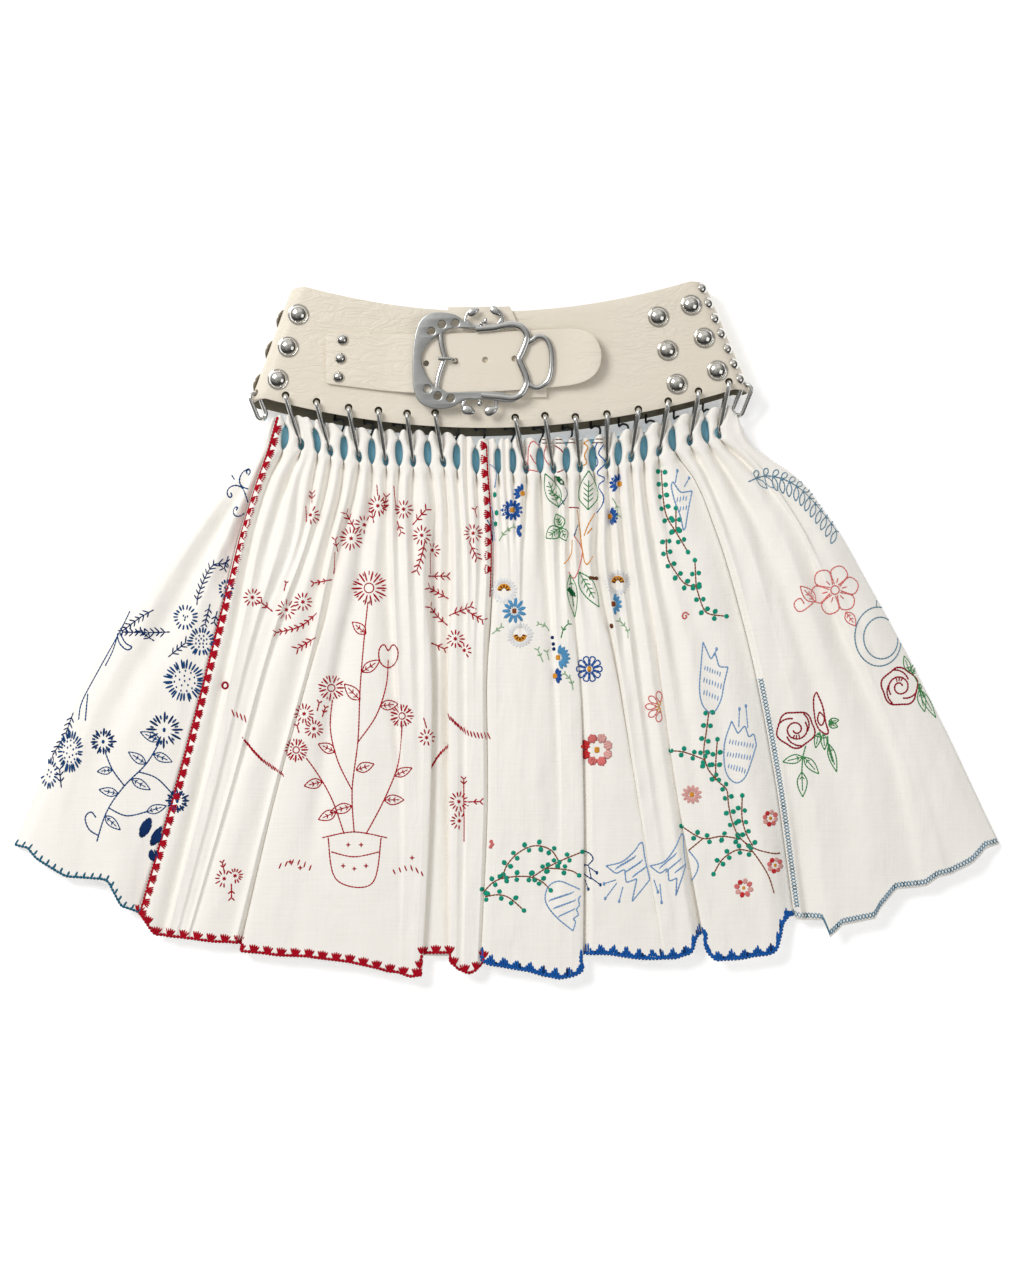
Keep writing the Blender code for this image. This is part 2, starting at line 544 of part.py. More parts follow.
def tube(name, points, width, colour, cyclic=False, resolution=1):
    curve = bpy.data.curves.new(name, "CURVE")
    curve.dimensions = "3D"
    curve.bevel_depth = width / 2 * MM
    curve.bevel_resolution = resolution
    curve.use_fill_caps = True
    spline = curve.splines.new("POLY")
    spline.points.add(len(points) - 1)
    for node, point in zip(spline.points, points):
        node.co = (*(Vector(point) * MM), 1.0)
    spline.use_cyclic_u = cyclic
    raw = bpy.data.objects.new(name + "_curve", curve)
    parts.objects.link(raw)
    mesh = baked(raw)
    bpy.data.objects.remove(raw)
    mesh.shade_smooth()
    return new_object(name, mesh, colour)


def make_links():
    names = [fold[0] for fold in FOLDS]
    for i, (hole_x, hole_y, valley) in enumerate(LINKS):
        fold = FOLDS[names.index(valley)]
        end_y = lerp(outline_y(HEADING, fold_x(fold, 0)), outline_y(HEM, fold_x(fold, 1)), LINK_END)
        points = link_points(Vector((hole_x, hole_y, 0)), Vector((fold_x(fold, LINK_END), end_y, 0)))
        tube(f"link_{i + 1}", points, LINK_WIRE, "nickel", cyclic=True)
    for name, side, h, turn, end in EDGE_LINKS:
        point, normal, down = roll_spot(side, h, turn)
        top = point - normal * LEATHER / 2 + down * EDGE_LINK_RADIUS
        points = loop_points(top, Vector(end), normal, EDGE_LINK_RADIUS)
        tube(name, points, LINK_WIRE, "nickel", cyclic=True)


def flat_plate(name, outlines, thickness, z):
    """Plate cut to closed outlines: the first is its edge and the rest are openings."""
    curve = bpy.data.curves.new(name, "CURVE")
    curve.dimensions = "2D"
    curve.fill_mode = "BOTH"
    curve.extrude = thickness / 2 * MM
    for outline in outlines:
        spline = curve.splines.new("POLY")
        spline.points.add(len(outline) - 1)
        for node, (x, y) in zip(spline.points, outline):
            node.co = (x * MM, y * MM, 0.0, 1.0)
        spline.use_cyclic_u = True
    raw = bpy.data.objects.new(name + "_curve", curve)
    raw.location.z = (z + thickness / 2) * MM
    parts.objects.link(raw)
    mesh = baked(raw)
    mesh.transform(raw.matrix_world)
    bpy.data.objects.remove(raw)
    return mesh


def ring(x, y, width, sides=8):
    return [(x + width / 2 * math.cos(2 * math.pi * i / sides), y + width / 2 * math.sin(2 * math.pi * i / sides))
            for i in range(sides)]


def rounded(points, rounds=1):
    """Outline with its corners cut evenly, so that cast and cut edges run round."""
    for _ in range(rounds):
        cut = []
        for i, (x, y) in enumerate(points):
            nx, ny = points[(i + 1) % len(points)]
            cut += [(lerp(x, nx, 0.25), lerp(y, ny, 0.25)), (lerp(x, nx, 0.75), lerp(y, ny, 0.75))]
        points = cut
    return points


def make_strap():
    mesh = flat_plate("strap", [rounded(STRAP)] + [ring(x, y, STRAP_HOLE) for x, y in STRAP_HOLES],
                      LEATHER, STRAP_LEFT_Z)
    bm = bmesh.new()
    bm.from_mesh(mesh)
    for x in STRAP_BENDS:
        geometry = list(bm.verts) + list(bm.edges) + list(bm.faces)
        bmesh.ops.bisect_plane(bm, geom=geometry, dist=0.00001, plane_co=(x * MM, 0, 0), plane_no=(1, 0, 0))
    for vertex in bm.verts:
        x = vertex.co.x / MM
        climb = (STRAP_Z - STRAP_LEFT_Z) * fade(STRAP_BENDS[0], STRAP_BENDS[3], x)
        vertex.co.z += (climb + STRAP_TIP_LIFT * fade(STRAP_BENDS[4], STRAP_BENDS[-1], x)) * MM
    bm.to_mesh(mesh)
    bm.free()
    new_object("strap", mesh, "leather")


def make_buckle():
    tab = flat_plate("buckle_tab", [TAB], LEATHER, BELT_DEPTH + SEAM_GAP)
    new_object("buckle_tab", tab, "leather")
    openings = [WINDOW, PLATE_WINDOW, KEEPER_OPENING] + [ring(x, y, PLATE_HOLE) for x, y in PLATE_HOLES]
    new_object("buckle", flat_plate("buckle", [BUCKLE] + openings, CASTING, BUCKLE_Z), "nickel")
    tube("buckle_prong", PRONG, 3.0, "nickel", resolution=2)


# Small studs on the roll of the right side, and the large ones seen edge-on at the left
SMALL_STUDS, SMALL_STUD_FIRST, SMALL_STUD_LAST, SMALL_STUD_TURN = 7, 0.055, 0.90, 40
EDGE_STUDS, EDGE_STUD_TURN = (0.22, 0.50, 0.80), 108
EDGE_LINKS = (
    # name, side, height on the belt, turn on the roll, centre of the lower end
    ("link_left_side", -1, 0.93, 52, (-211.0, 186.5, 19.0)),
    ("link_right_side", 1, 0.94, 62, (199.0, 190.0, 15.0)),
)
EDGE_LINK_RADIUS = 4.6
# Centre line of a link, from its belt hole (distance 0) to its lower end: distance and height
LINK_TOP = ((2.0, 17.5), (0.0, 22.0), (-0.2, 26.5), (1.5, 30.6), (5.0, 33.0))
LINK_LOW = ((-5.5, 21.0), (-1.6, 18.4), (0.0, 14.5), (-1.2, 10.6), (-4.5, 8.0))

# Strap, buckle tab and buckle
STRAP_LEFT_Z = BELT_DEPTH + SEAM_GAP
STRAP_Z = STRAP_LEFT_Z + LEATHER + SEAM_GAP
BUCKLE_Z = STRAP_Z + LEATHER + SEAM_GAP
STRAP_TIP_LIFT = 3.5
STRAP_BENDS = (-112, -95, -78, -58, 42, 52, 62, 79)
STRAP = ((-155, 255), (-155, 211), (-81, 202.5), (-23, 203.5), (34, 207.5), (66, 211), (80, 223),
         (81, 243), (68, 259), (26.5, 257), (-52, 253.5), (-108, 254))
STRAP_HOLES = ((-69.0, 228.5), (-44.0, 230.5), (-18.5, 231.5), (6.5, 232.5))
RIVET_FIRST, RIVET_LAST = (-140.5, 249.0), (-144.0, 217.0)
TAB = ((-50.5, 277), (-50.5, 198.5), (34, 200), (34, 207.5), (2.5, 277.5))
PLATE_HOLES = ((-64.5, 255.5), (-55.5, 261.5), (-44, 262.5), (-68, 206.5), (-59, 200.5), (-48, 198.5))
BUCKLE = ((-81, 220.5), (-80.5, 243.5), (-75.5, 264), (-70, 269.5), (-62.5, 272), (-47, 271), (-36.5, 265),
          (-35, 267.5), (-32.5, 274.5), (-27, 275.5), (-24, 273.5), (-25, 269.5), (-29, 267.5), (-30, 263.5),
          (-24, 261), (-19.5, 266), (-16, 266), (-12, 261), (-6, 263.5), (-8.5, 268.5), (-12.5, 271),
          (-12, 274.5), (-7, 275.5), (-3, 270), (-2.5, 264), (6.5, 264.5), (16, 260), (21, 252.5),
          (29, 254.8), (38.5, 247), (41, 234), (40, 220.5), (34.5, 209), (24, 204), (19, 205.5),
          (16, 200), (6.5, 195), (-6.5, 195.5), (-6, 190), (-9.5, 184), (-16, 183), (-19, 186.5),
          (-14.5, 190), (-14.5, 194.5), (-22, 196), (-30.5, 194.5), (-30, 190), (-25.5, 186.5), (-29, 183),
          (-35.5, 184), (-40, 190), (-40.5, 194), (-47, 190), (-58.5, 188.5), (-71.5, 190), (-79.5, 197.5))
WINDOW = ((-52, 254), (-23.5, 255), (0, 258), (9, 257), (13, 251), (12, 240.5), (9.5, 232), (13, 222),
          (15, 214.5), (13, 205), (8, 201.5), (-6.5, 202), (-31.5, 204.5), (-54.5, 204), (-56, 209.5),
          (-53, 221.5), (-50, 232), (-53, 243.5))
PLATE_WINDOW = ((-61.5, 251), (-67.5, 245.5), (-73, 235), (-73, 227.5), (-71.5, 221), (-68, 215),
                (-62.5, 209), (-62, 214), (-58.5, 222), (-54.5, 232), (-57, 243))
KEEPER_OPENING = ((20.5, 247), (28, 250.3), (34.5, 244.5), (37, 234), (36, 221.5), (31.5, 212),
                  (23.5, 208.5), (20.5, 212), (18.5, 221), (15, 232), (17.5, 240.5))
PRONG_Z = BUCKLE_Z + CASTING + SEAM_GAP + 1.5
PRONG = ((-58.5, 232, PRONG_Z), (-49.5, 232, PRONG_Z), (-46.4, 231.3, PRONG_Z - 1.0),
         (-44.6, 230.7, PRONG_Z - 3.2), (-44, 230.5, STRAP_Z + LEATHER - 1.0))

for existing in list(bpy.data.objects):
    bpy.data.objects.remove(existing, do_unlink=True)
parts = bpy.data.collections.new("belted_skirt")
cutters = bpy.data.collections.new("cutters")
bpy.context.scene.collection.children.link(parts)
bpy.context.scene.collection.children.link(cutters)

make_front_panels()
make_back()
make_heading_tape()
make_belt()
make_studs()
make_links()
make_strap()
make_buckle()
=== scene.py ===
# A gathered linen skirt with hand embroidery, laid flat, hung by wire links from a studded
# leather belt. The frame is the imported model: +Z up, +Y towards the waist, tables in millimetres.
import math
import random

import bmesh
import bpy
import numpy as np
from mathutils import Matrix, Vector, noise
from mathutils.bvhtree import BVHTree


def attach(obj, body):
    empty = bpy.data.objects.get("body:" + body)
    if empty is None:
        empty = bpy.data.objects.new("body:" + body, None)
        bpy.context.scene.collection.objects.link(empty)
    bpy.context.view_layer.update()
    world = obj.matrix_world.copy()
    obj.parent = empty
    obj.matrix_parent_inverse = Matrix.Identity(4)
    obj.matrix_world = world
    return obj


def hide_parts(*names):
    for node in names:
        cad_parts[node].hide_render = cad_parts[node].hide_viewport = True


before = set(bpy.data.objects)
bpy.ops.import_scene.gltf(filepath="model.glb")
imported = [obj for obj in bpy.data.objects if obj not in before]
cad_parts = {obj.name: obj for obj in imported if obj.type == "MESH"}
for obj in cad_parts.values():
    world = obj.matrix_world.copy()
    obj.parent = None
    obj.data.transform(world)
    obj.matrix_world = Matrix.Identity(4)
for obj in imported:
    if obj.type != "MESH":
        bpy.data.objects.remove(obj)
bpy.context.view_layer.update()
MM = 0.001

# Front of the skirt: four panels of linen, seamed together and drawn up on a tape inside the
# heading, so that deep lobes stand between the links and long folds run down to the hem.
SEAM_GAP, CLOTH, BACK_CLOTH = 0.3, 1.3, 1.5
CLOTH_EDGE = BACK_CLOTH + SEAM_GAP + CLOTH
FOLD_LEVELS = (0.0, 0.06, 0.12, 0.22, 0.40, 0.70, 1.0)
DEPTH_LEVELS = (0.06, 0.22, 0.40, 0.70, 1.0)
FOLDS = (
    # name, opening, x at each level, depth at each level, left run, right run, lap
    ("side_left", "", (-207.5, -215.5, -239.5, -274.5, -321.5, -380.5, -425.5), (0, 0, 0, 0, 0), 0, 12, 0),
    ("a1", "", (-202.7, -211.0, -222.0, -244.5, -284.5, -346.0, -361.5), (0, 8, 8, 4, 2), 18, 16, 0),
    ("seam_left", "", (-198.0, -205.0, -214.5, -228.5, -247.5, -280.5, -317.5), (1.5, 7, 3, 2, 4), 14, 4, 0),
    ("r1", "oval", (-190.5, -191.5, -204.0, -218.0, -233.0, -262.5, -296.5), (9, 8, 6, 6, 8), 10, 5, 0),
    ("r2", "link", (-184.0, -176.5, -187.0, -201.0, -221.0, -253.0, -288.0), (9, 5, 1, 0, 0), 10, 8, 0),
    ("r3", "", (-175.0, -169.5, -177.0, -182.5, -212.0, -246.5, -283.0), (0, 4, 1, 0, 0), 8, 6, 0),
    ("r4", "oval", (-166.5, -162.5, -166.5, -174.5, -203.5, -240.0, -278.0), (9, 3, 0, 0, 0), 6, 6, 0),
    ("r5", "link", (-158.5, -151.5, -154.5, -166.5, -195.0, -233.5, -273.0), (9, 6, 4, 4, 4), 9, 5, 0),
    ("r6", "oval", (-140.0, -140.0, -142.5, -153.5, -169.5, -205.0, -240.0), (9, 8, 5, 3, 2), 16, 10, 0),
    ("r7", "link", (-133.0, -127.0, -130.5, -142.5, -160.0, -196.0, -227.5), (9, 9, 9, 12, 12), 16, 4, 2),
    ("r8", "oval", (-116.0, -116.0, -116.5, -122.5, -139.0, -162.5, -187.0), (9, 5, 6, 2, 0), 10, 14, 0),
    ("r9", "link", (-108.0, -104.0, -103.5, -103.0, -99.5, -92.0, -94.0), (9, 9, 7, 2, 0), 8, 5, 0),
    ("r10", "oval", (-93.5, -92.5, -94.0, -93.0, -90.0, -84.0, -87.5), (9, 4, 1, 0, 0), 5, 5, 0),
    ("r11", "link", (-83.0, -80.5, -81.5, -80.0, -76.5, -76.0, -81.5), (9, 5, 3, 0, 0), 6, 6, 0),
    ("r12", "oval", (-68.5, -67.5, -62.5, -64.5, -65.5, -68.0, -75.0), (9, 9, 10, 10, 11), 4, 6, -2),
    ("r13", "link", (-59.0, -54.5, -52.0, -50.0, -50.0, -49.0, -48.5), (9, 10, 10, 10, 11), 6, 3, 1),
    ("r14", "oval", (-43.0, -43.0, -41.0, -38.0, -37.0, -37.0, -39.5), (9, 6, 5, 3, 2), 6, 6, 0),
    ("r15", "", (-35.0, -35.0, -33.5, -30.5, -31.5, -31.5, -35.0), (5, 2, 0, 0, 0), 4, 4, 0),
    ("r16", "oval", (-27.0, -26.5, -25.0, -23.0, -26.0, -26.0, -30.5), (9, 4, 1, 0, 0), 4, 4, 0),
    ("seam_middle", "", (-16.0, -15.0, -13.0, -12.0, -15.0, -14.5, -20.5), (8, 10, 9, 9, 10), 5, 3, 2),
    ("b1", "oval", (-8.0, -7.5, -5.5, -2.0, -4.0, -4.0, -9.5), (9, 0, 0, 0, 0), 4, 4, 0),
    ("b2", "", (-1.5, -1.0, 0.5, 3.0, 1.5, 1.5, -3.0), (5, 1, 0, 0, 0), 4, 4, 0),
    ("b3", "oval", (4.0, 5.0, 6.5, 8.0, 7.0, 7.0, 4.0), (9, 0, 0, 0, 0), 4, 4, 0),
    ("b4", "link", (10.7, 16.5, 16.0, 14.0, 13.0, 13.0, 11.0), (9, 4, 0, 0, 0), 5, 5, 0),
    ("b5", "oval", (28.0, 28.5, 30.0, 33.5, 39.5, 44.0, 37.0), (9, 7, 4, 1, 0), 6, 8, 0),
    ("b6", "link", (35.5, 40.0, 44.0, 45.5, 47.5, 51.5, 50.0), (9, 4, 0, 0, 0), 5, 5, 0),
    ("b7", "oval", (51.0, 51.0, 52.5, 53.5, 59.5, 64.0, 63.5), (9, 9, 5, 10, 12), 5, 14, -2),
    ("b8", "link", (60.5, 62.5, 62.0, 63.5, 73.0, 80.0, 80.0), (9, 4, 0, 0, 0), 4, 5, 0),
    ("b9", "oval", (73.0, 74.0, 78.0, 76.5, 89.5, 111.0, 133.0), (9, 10, 10, 7, 4), 4, 7, -1),
    ("b10", "link", (86.0, 86.0, 87.5, 90.0, 100.5, 119.5, 141.0), (9, 10, 3, 0, 0), 5, 4, 0),
    ("b11", "oval", (95.5, 95.5, 96.5, 101.0, 111.5, 130.0, 150.0), (9, 7, 5, 2, 0), 8, 8, 0),
    ("b12", "link", (110.0, 106.5, 108.5, 113.5, 127.5, 147.0, 171.5), (9, 5, 5, 6, 11), 12, 4, 1),
    ("b13", "oval", (117.5, 117.5, 119.0, 127.0, 142.5, 168.0, 190.5), (9, 6, 4, 1, 0), 8, 8, 0),
    ("b14", "link", (135.0, 130.5, 131.0, 141.5, 166.0, 196.0, 218.0), (9, 2, 1, 2, 0), 8, 8, 0),
    ("seam_right", "oval", (142.0, 143.0, 160.5, 178.5, 202.0, 229.0, 247.5), (9, 9, 7, 6, 9), 14, 5, 0),
    ("s1", "link", (161.5, 157.0, 170.0, 189.0, 213.0, 242.0, 259.5), (9, 3, 0, 1, 6), 8, 12, 0),
    ("s2", "oval", (169.5, 171.5, 188.0, 213.5, 244.0, 278.0, 302.5), (9, 7, 5, 2, 1), 14, 14, 0),
    ("s3", "link", (186.5, 181.5, 206.5, 240.5, 274.0, 325.0, 352.0), (9, 9, 8, 4, 3), 16, 14, 0),
    ("s4", "", (193.5, 197.0, 218.5, 247.0, 286.0, 342.5, 377.5), (1, 3, 0, 0, 0), 6, 6, 0),
    ("side_right", "", (200.5, 214.5, 246.0, 276.5, 315.5, 373.5, 425.5), (0, 0, 0, 0, 0), 12, 0, 0),
)
LOW_CROWNS = {"r12": (0.9, 0.55), "r3": (1.0, 0.8), "side_left": (1.0, 0.9)}
HEADING = ((-210, 172.5), (-198, 184.5), (-184, 185.5), (-166, 182), (-143, 176), (-113, 173), (-70, 172),
           (-45, 169.5), (-23, 164.5), (32, 166), (67, 165.5), (101, 172.5), (122, 177), (149, 185),
           (171, 191), (190, 193), (200.5, 180))
HEM = ((-425.5, -185), (-407.5, -197), (-378.5, -207.5), (-350, -217), (-320.5, -238), (-316.5, -244.5),
       (-299, -262), (-264.5, -266), (-228.5, -269), (-226.5, -275.5), (-139, -285), (-92, -294.5),
       (-83, -298), (-76, -296.5), (-73.5, -278), (-49, -278), (-43, -291), (-32, -295.5), (-21.5, -288),
       (-20, -279), (-15, -287), (20, -293), (45, -299.5), (57.5, -296.5), (62.5, -287), (63.5, -278),
       (88, -278), (115.5, -282.5), (147.5, -281.5), (157.5, -275), (170.5, -259.5), (177.5, -278),
       (181, -283.5), (211, -281), (233.5, -275), (241, -263), (246.5, -244), (249, -248),
       (263.5, -249), (276.5, -263.5), (297, -255), (317, -238), (346.5, -223), (376, -211),
       (405, -200), (425.5, -184))
BACK_HEM = ((-425, -184), (-351, -214.5), (-308.5, -236.5), (-228.5, -263.5), (-144.5, -275.5),
            (-61.5, -281), (11, -278), (80.5, -275.5), (132.5, -273), (171, -256), (218.5, -253),
            (258.5, -243), (314, -230.5), (374.5, -208), (425, -183))
CROWN_LEVELS, CROWN_HEIGHTS = (0.0, 0.06, 0.2, 0.5, 1.0), (26.0, 24.0, 22.0, 18.0, 15.0)
VALLEY_LEVELS, VALLEY_HEIGHTS = (0.0, 0.045, 0.07), (18.0, 15.3, 15.0)
CURL_LEVELS, CURL_WIDTHS = (0.0, 0.04, 0.12, 0.3, 1.0), (7.0, 10.0, 34.0, 50.0, 60.0)
OPENINGS = {"oval": (0.041, 0.024, 3.2), "link": (0.055, 0.012, 2.6)}
GATHER_RUN, SHOULDER, LOBE_NOTCH, LINK_HALF = 0.25, 0.72, 7.0, 4.0
STEPS = 4
FOLD_NAMES = [fold[0] for fold in FOLDS]
LEVELS = np.concatenate([np.arange(0, 0.09, 0.003), np.linspace(0.09, 1.0, 108)])


def lerp(a, b, t):
    return a + (b - a) * t


def fade(low, high, value):
    t = np.clip((value - low) / (high - low), 0.0, 1.0)
    return t * t * (3 - 2 * t)


def through(levels, values, at):
    """Smooth curve through values given at rising levels, read at an array of levels."""
    levels, values = np.array(levels, float), np.array(values, float)
    slopes = np.gradient(values, levels)
    at = np.clip(at, levels[0], levels[-1])
    i = np.clip(np.searchsorted(levels, at, side="left") - 1, 0, len(levels) - 2)
    span = levels[i + 1] - levels[i]
    t = (at - levels[i]) / span
    start = (2 * t ** 3 - 3 * t ** 2 + 1) * values[i] + (t ** 3 - 2 * t ** 2 + t) * span * slopes[i]
    end = (3 * t ** 2 - 2 * t ** 3) * values[i + 1] + (t ** 3 - t ** 2) * span * slopes[i + 1]
    return start + end


def outline_y(outline, x):
    return np.interp(x, [p[0] for p in outline], [p[1] for p in outline])


def fold_x(k, level):
    return through(FOLD_LEVELS, FOLDS[k][2], level)


def side_factor(x, level):
    """1 in the middle of the front, falling to 0 where a side turns down to the back."""
    inside = np.minimum(x - fold_x(0, level), fold_x(len(FOLDS) - 1, level) - x)
    t = np.clip(inside / through(CURL_LEVELS, CURL_WIDTHS, level), 0.0, 1.0)
    return np.sqrt(1 - (1 - t) ** 2)


def crown_height(k, x, level):
    gathered, loose = LOW_CROWNS.get(FOLDS[k][0], (1.0, 1.0))
    full = through(CROWN_LEVELS, CROWN_HEIGHTS, level) * lerp(gathered, loose, fade(0.12, 0.4, level))
    return lerp(CLOTH_EDGE, full, side_factor(x, level))


def valley_height(k, level):
    if k in (0, len(FOLDS) - 1):
        return np.full(len(level), CLOTH_EDGE)
    x = fold_x(k, level)
    beside = (crown_height(k - 1, x, level) + crown_height(k, x, level)) / 2
    depth = through(DEPTH_LEVELS, FOLDS[k][3], level) * side_factor(x, level)
    narrow = np.minimum(x - fold_x(k - 1, level), fold_x(k + 1, level) - x)
    height = beside - np.maximum(np.minimum(depth, 0.85 * (narrow - 2.5)), 0.0)
    if FOLDS[k][1]:
        pinched = lerp(CLOTH_EDGE, through(VALLEY_LEVELS, VALLEY_HEIGHTS, level), side_factor(x, level))
        height = np.where(level < 0.10, lerp(pinched, height, fade(0.075, 0.10, level)), height)
    return np.maximum(height, CLOTH_EDGE)


def fold_run(run, width, level):
    return lerp(GATHER_RUN * width, np.minimum(run, 0.35 * width), fade(0.08, 0.3, level))


def opening_half(kind, level, run):
    """Half width of a lens-shaped opening, blending into the fold's own run outside it."""
    if not kind:
        return run
    middle, reach, half = OPENINGS[kind]
    lens = half * np.sqrt(np.clip(1 - ((level - middle) / reach) ** 2, 0.02, 1))
    outside = np.clip((np.abs(level - middle) - reach) / 0.02, 0, 1)
    return np.where(level < 0.10, lerp(lens, run, outside), run)


def control_columns(level):
    """Points across the front: valley, shoulder, crown, shoulder of each fold in turn."""
    columns, laps = [], fade(0.25, 0.5, level)
    for k in range(len(FOLDS) - 1):
        left, right = fold_x(k, level), fold_x(k + 1, level)
        width = right - left
        low_left, low_right = valley_height(k, level), valley_height(k + 1, level)
        run_left = np.minimum(opening_half(FOLDS[k][1], level, fold_run(FOLDS[k][5], width, level)), 0.36 * width)
        run_right = np.minimum(opening_half(FOLDS[k + 1][1], level, fold_run(FOLDS[k + 1][4], width, level)),
                               0.36 * width)
        x1, x3 = left + run_left, right - run_right
        crown_x = (x1 + x3) / 2
        crown = np.maximum(crown_height(k, crown_x, level), (low_left + low_right) / 2)
        z1, z3 = lerp(low_left, crown, SHOULDER), lerp(low_right, crown, SHOULDER)
        if FOLDS[k][6] > 0:
            x1, z1 = lerp(x1, left - FOLDS[k][6], laps), lerp(z1, crown - 1.5, laps)
        if FOLDS[k + 1][6] < 0:
            x3, z3 = lerp(x3, right - FOLDS[k + 1][6], laps), lerp(z3, crown - 1.5, laps)
        columns += [(left, low_left), (x1, z1), (crown_x, crown), (x3, z3)]
    columns.append((fold_x(len(FOLDS) - 1, level), np.full(len(level), CLOTH_EDGE)))
    return columns


def spline_columns(values):
    """Catmull-Rom curve through control columns, STEPS points to a span."""
    padded = np.concatenate([values[:1], values, values[-1:]])
    spans = []
    for i in range(len(values) - 1):
        p0, p1, p2, p3 = padded[i:i + 4]
        for s in range(STEPS):
            t = s / STEPS
            spans.append(0.5 * (2 * p1 + (p2 - p0) * t + (2 * p0 - 5 * p1 + 4 * p2 - p3) * t ** 2
                                + (3 * p1 - p0 - 3 * p2 + p3) * t ** 3))
    spans.append(values[-1])
    return np.array(spans)


def edge_x(level):
    """Plan x that sets each control column's place on the heading or the hem."""
    at = np.array([level])
    found = []
    for k in range(len(FOLDS) - 1):
        left, right = fold_x(k, at)[0], fold_x(k + 1, at)[0]
        reach = min(3.5, (right - left) * 0.3)
        found += [left, left + reach, (left + right) / 2, right - reach]
    found.append(fold_x(len(FOLDS) - 1, at)[0])
    return np.interp(np.arange(4 * STEPS * (len(FOLDS) - 1) + 1) / STEPS, np.arange(len(found)), found)


CREASES = (
    # x, y, x, y at its ends, width and height of a soft ridge (+) or trough (-)
    (-345, 95, -300, -60, 5, -1.2), (-300, 60, -330, -120, 6, 1.0), (-255, 120, -235, 40, 4, -1.0),
    (-375, -60, -340, -170, 6, -1.0), (-270, 0, -300, -170, 5, 0.9), (-225, 60, -262, -190, 4, 0.7),
    (-150, 60, -180, -110, 5, 0.9), (-140, 20, -165, -200, 5, -0.8), (-120, 110, -128, 10, 4, -1.0),
    (-118, -60, -124, -260, 6, 0.9), (-58, 120, -60, -20, 3, -0.8), (30, 110, 24, -120, 4, -0.7),
    (22, -40, 30, -270, 6, 0.8), (50, 100, 56, 10, 3, -0.8), (75, 110, 84, 30, 3, 0.8),
    (100, 20, 118, -200, 5, 0.8), (98, 60, 104, -40, 4, -0.8), (150, 40, 180, -200, 6, 0.9),
    (125, 110, 150, -20, 4, -0.8), (215, 100, 236, -40, 5, -1.0), (205, 140, 225, 110, 5, 1.2),
    (190, 150, 214, 142, 4, 1.4), (240, 90, 290, -110, 6, 1.0), (268, 60, 330, -120, 6, -1.0),
    (300, 40, 372, -150, 6, 0.9), (330, -10, 392, -160, 5, -0.8), (225, 60, 262, -60, 4, 0.8),
)


def crease_height(x, y):
    height = np.zeros_like(x)
    for x0, y0, x1, y1, width, rise in CREASES:
        along = Vector((x1 - x0, y1 - y0))
        length = along.length
        u = ((x - x0) * along.x + (y - y0) * along.y) / length ** 2
        off = ((x - x0) * along.y - (y - y0) * along.x) / length
        wander = 2.5 * np.sin(u * 5.0 + x0) + 1.2 * np.sin(u * 13.0 + y0)
        height += rise * np.exp(-((off - wander) / width) ** 2) * fade(0, 0.25, u) * fade(0, 0.25, 1 - u)
    return height


def crumple(x, y):
    """Small uneven rises of washed linen, longer down the cloth than across it."""
    return [1.3 * noise.noise((a * 0.040, b * 0.011, 3.0)) + 0.55 * noise.noise((a * 0.10, b * 0.04, 7.0))
            + 0.22 * noise.noise((a * 0.28, b * 0.16, 11.0)) for a, b in zip(x, y)]


def front_points():
    columns = control_columns(LEVELS)
    xs = spline_columns(np.array([c[0] for c in columns]))
    zs = spline_columns(np.array([c[1] for c in columns]))
    head, hem = outline_y(HEADING, edge_x(0.0)), outline_y(HEM, edge_x(1.0))
    deep = np.array([LOBE_NOTCH if fold[1] else 1.0 for fold in FOLDS])
    notch = []
    for k in range(len(FOLDS) - 1):
        notch += [deep[k], 0.28 * deep[k], 0.0, 0.28 * deep[k + 1]]
    notch = np.clip(spline_columns(np.array(notch + [1.0])), 0, None)
    ys = head[:, None] + (hem - head)[:, None] * LEVELS[None, :]
    ys -= notch[:, None] * np.clip(1 - LEVELS / 0.018, 0, 1)[None, :]
    flat = fade(0.07, 0.16, LEVELS)[None, :] * side_factor(xs, LEVELS)
    zs = zs + crease_height(xs, ys) * flat
    zs = zs + np.array(crumple(xs.ravel(), ys.ravel())).reshape(xs.shape) * (0.35 + 0.65 * flat)
    zs += 0.35 * np.exp(-((1 - LEVELS) / 0.010) ** 2)[None, :]
    return xs, ys, np.maximum(zs, CLOTH_EDGE - 0.2)


def mesh_object(name, points, faces, smooth=True):
    mesh = bpy.data.meshes.new(name)
    mesh.from_pydata([tuple(c * MM for c in p) for p in points], [], faces)
    mesh.validate()
    if smooth:
        mesh.shade_smooth()
    obj = bpy.data.objects.new(name, mesh)
    bpy.context.scene.collection.objects.link(obj)
    return obj


def thicken(obj, thickness, offset=-1.0):
    solid = obj.modifiers.new("wall", "SOLIDIFY")
    solid.thickness = thickness * MM
    solid.offset = offset
    return solid


def new_material(name, roughness, metallic=0.0):
    material = bpy.data.materials.new(name)
    material.use_nodes = True
    shader = material.node_tree.nodes["Principled BSDF"]
    shader.inputs["Roughness"].default_value = roughness
    shader.inputs["Metallic"].default_value = metallic
    return material, material.node_tree.nodes, material.node_tree.links, shader


def new_group(name, inputs, outputs):
    group = bpy.data.node_groups.new(name, "ShaderNodeTree")
    for label, kind, value in inputs:
        socket = group.interface.new_socket(label, in_out="INPUT", socket_type=kind)
        socket.default_value = value
    for label, kind in outputs:
        group.interface.new_socket(label, in_out="OUTPUT", socket_type=kind)
    nodes = group.nodes
    return group, nodes, group.links, nodes.new("NodeGroupInput"), nodes.new("NodeGroupOutput")


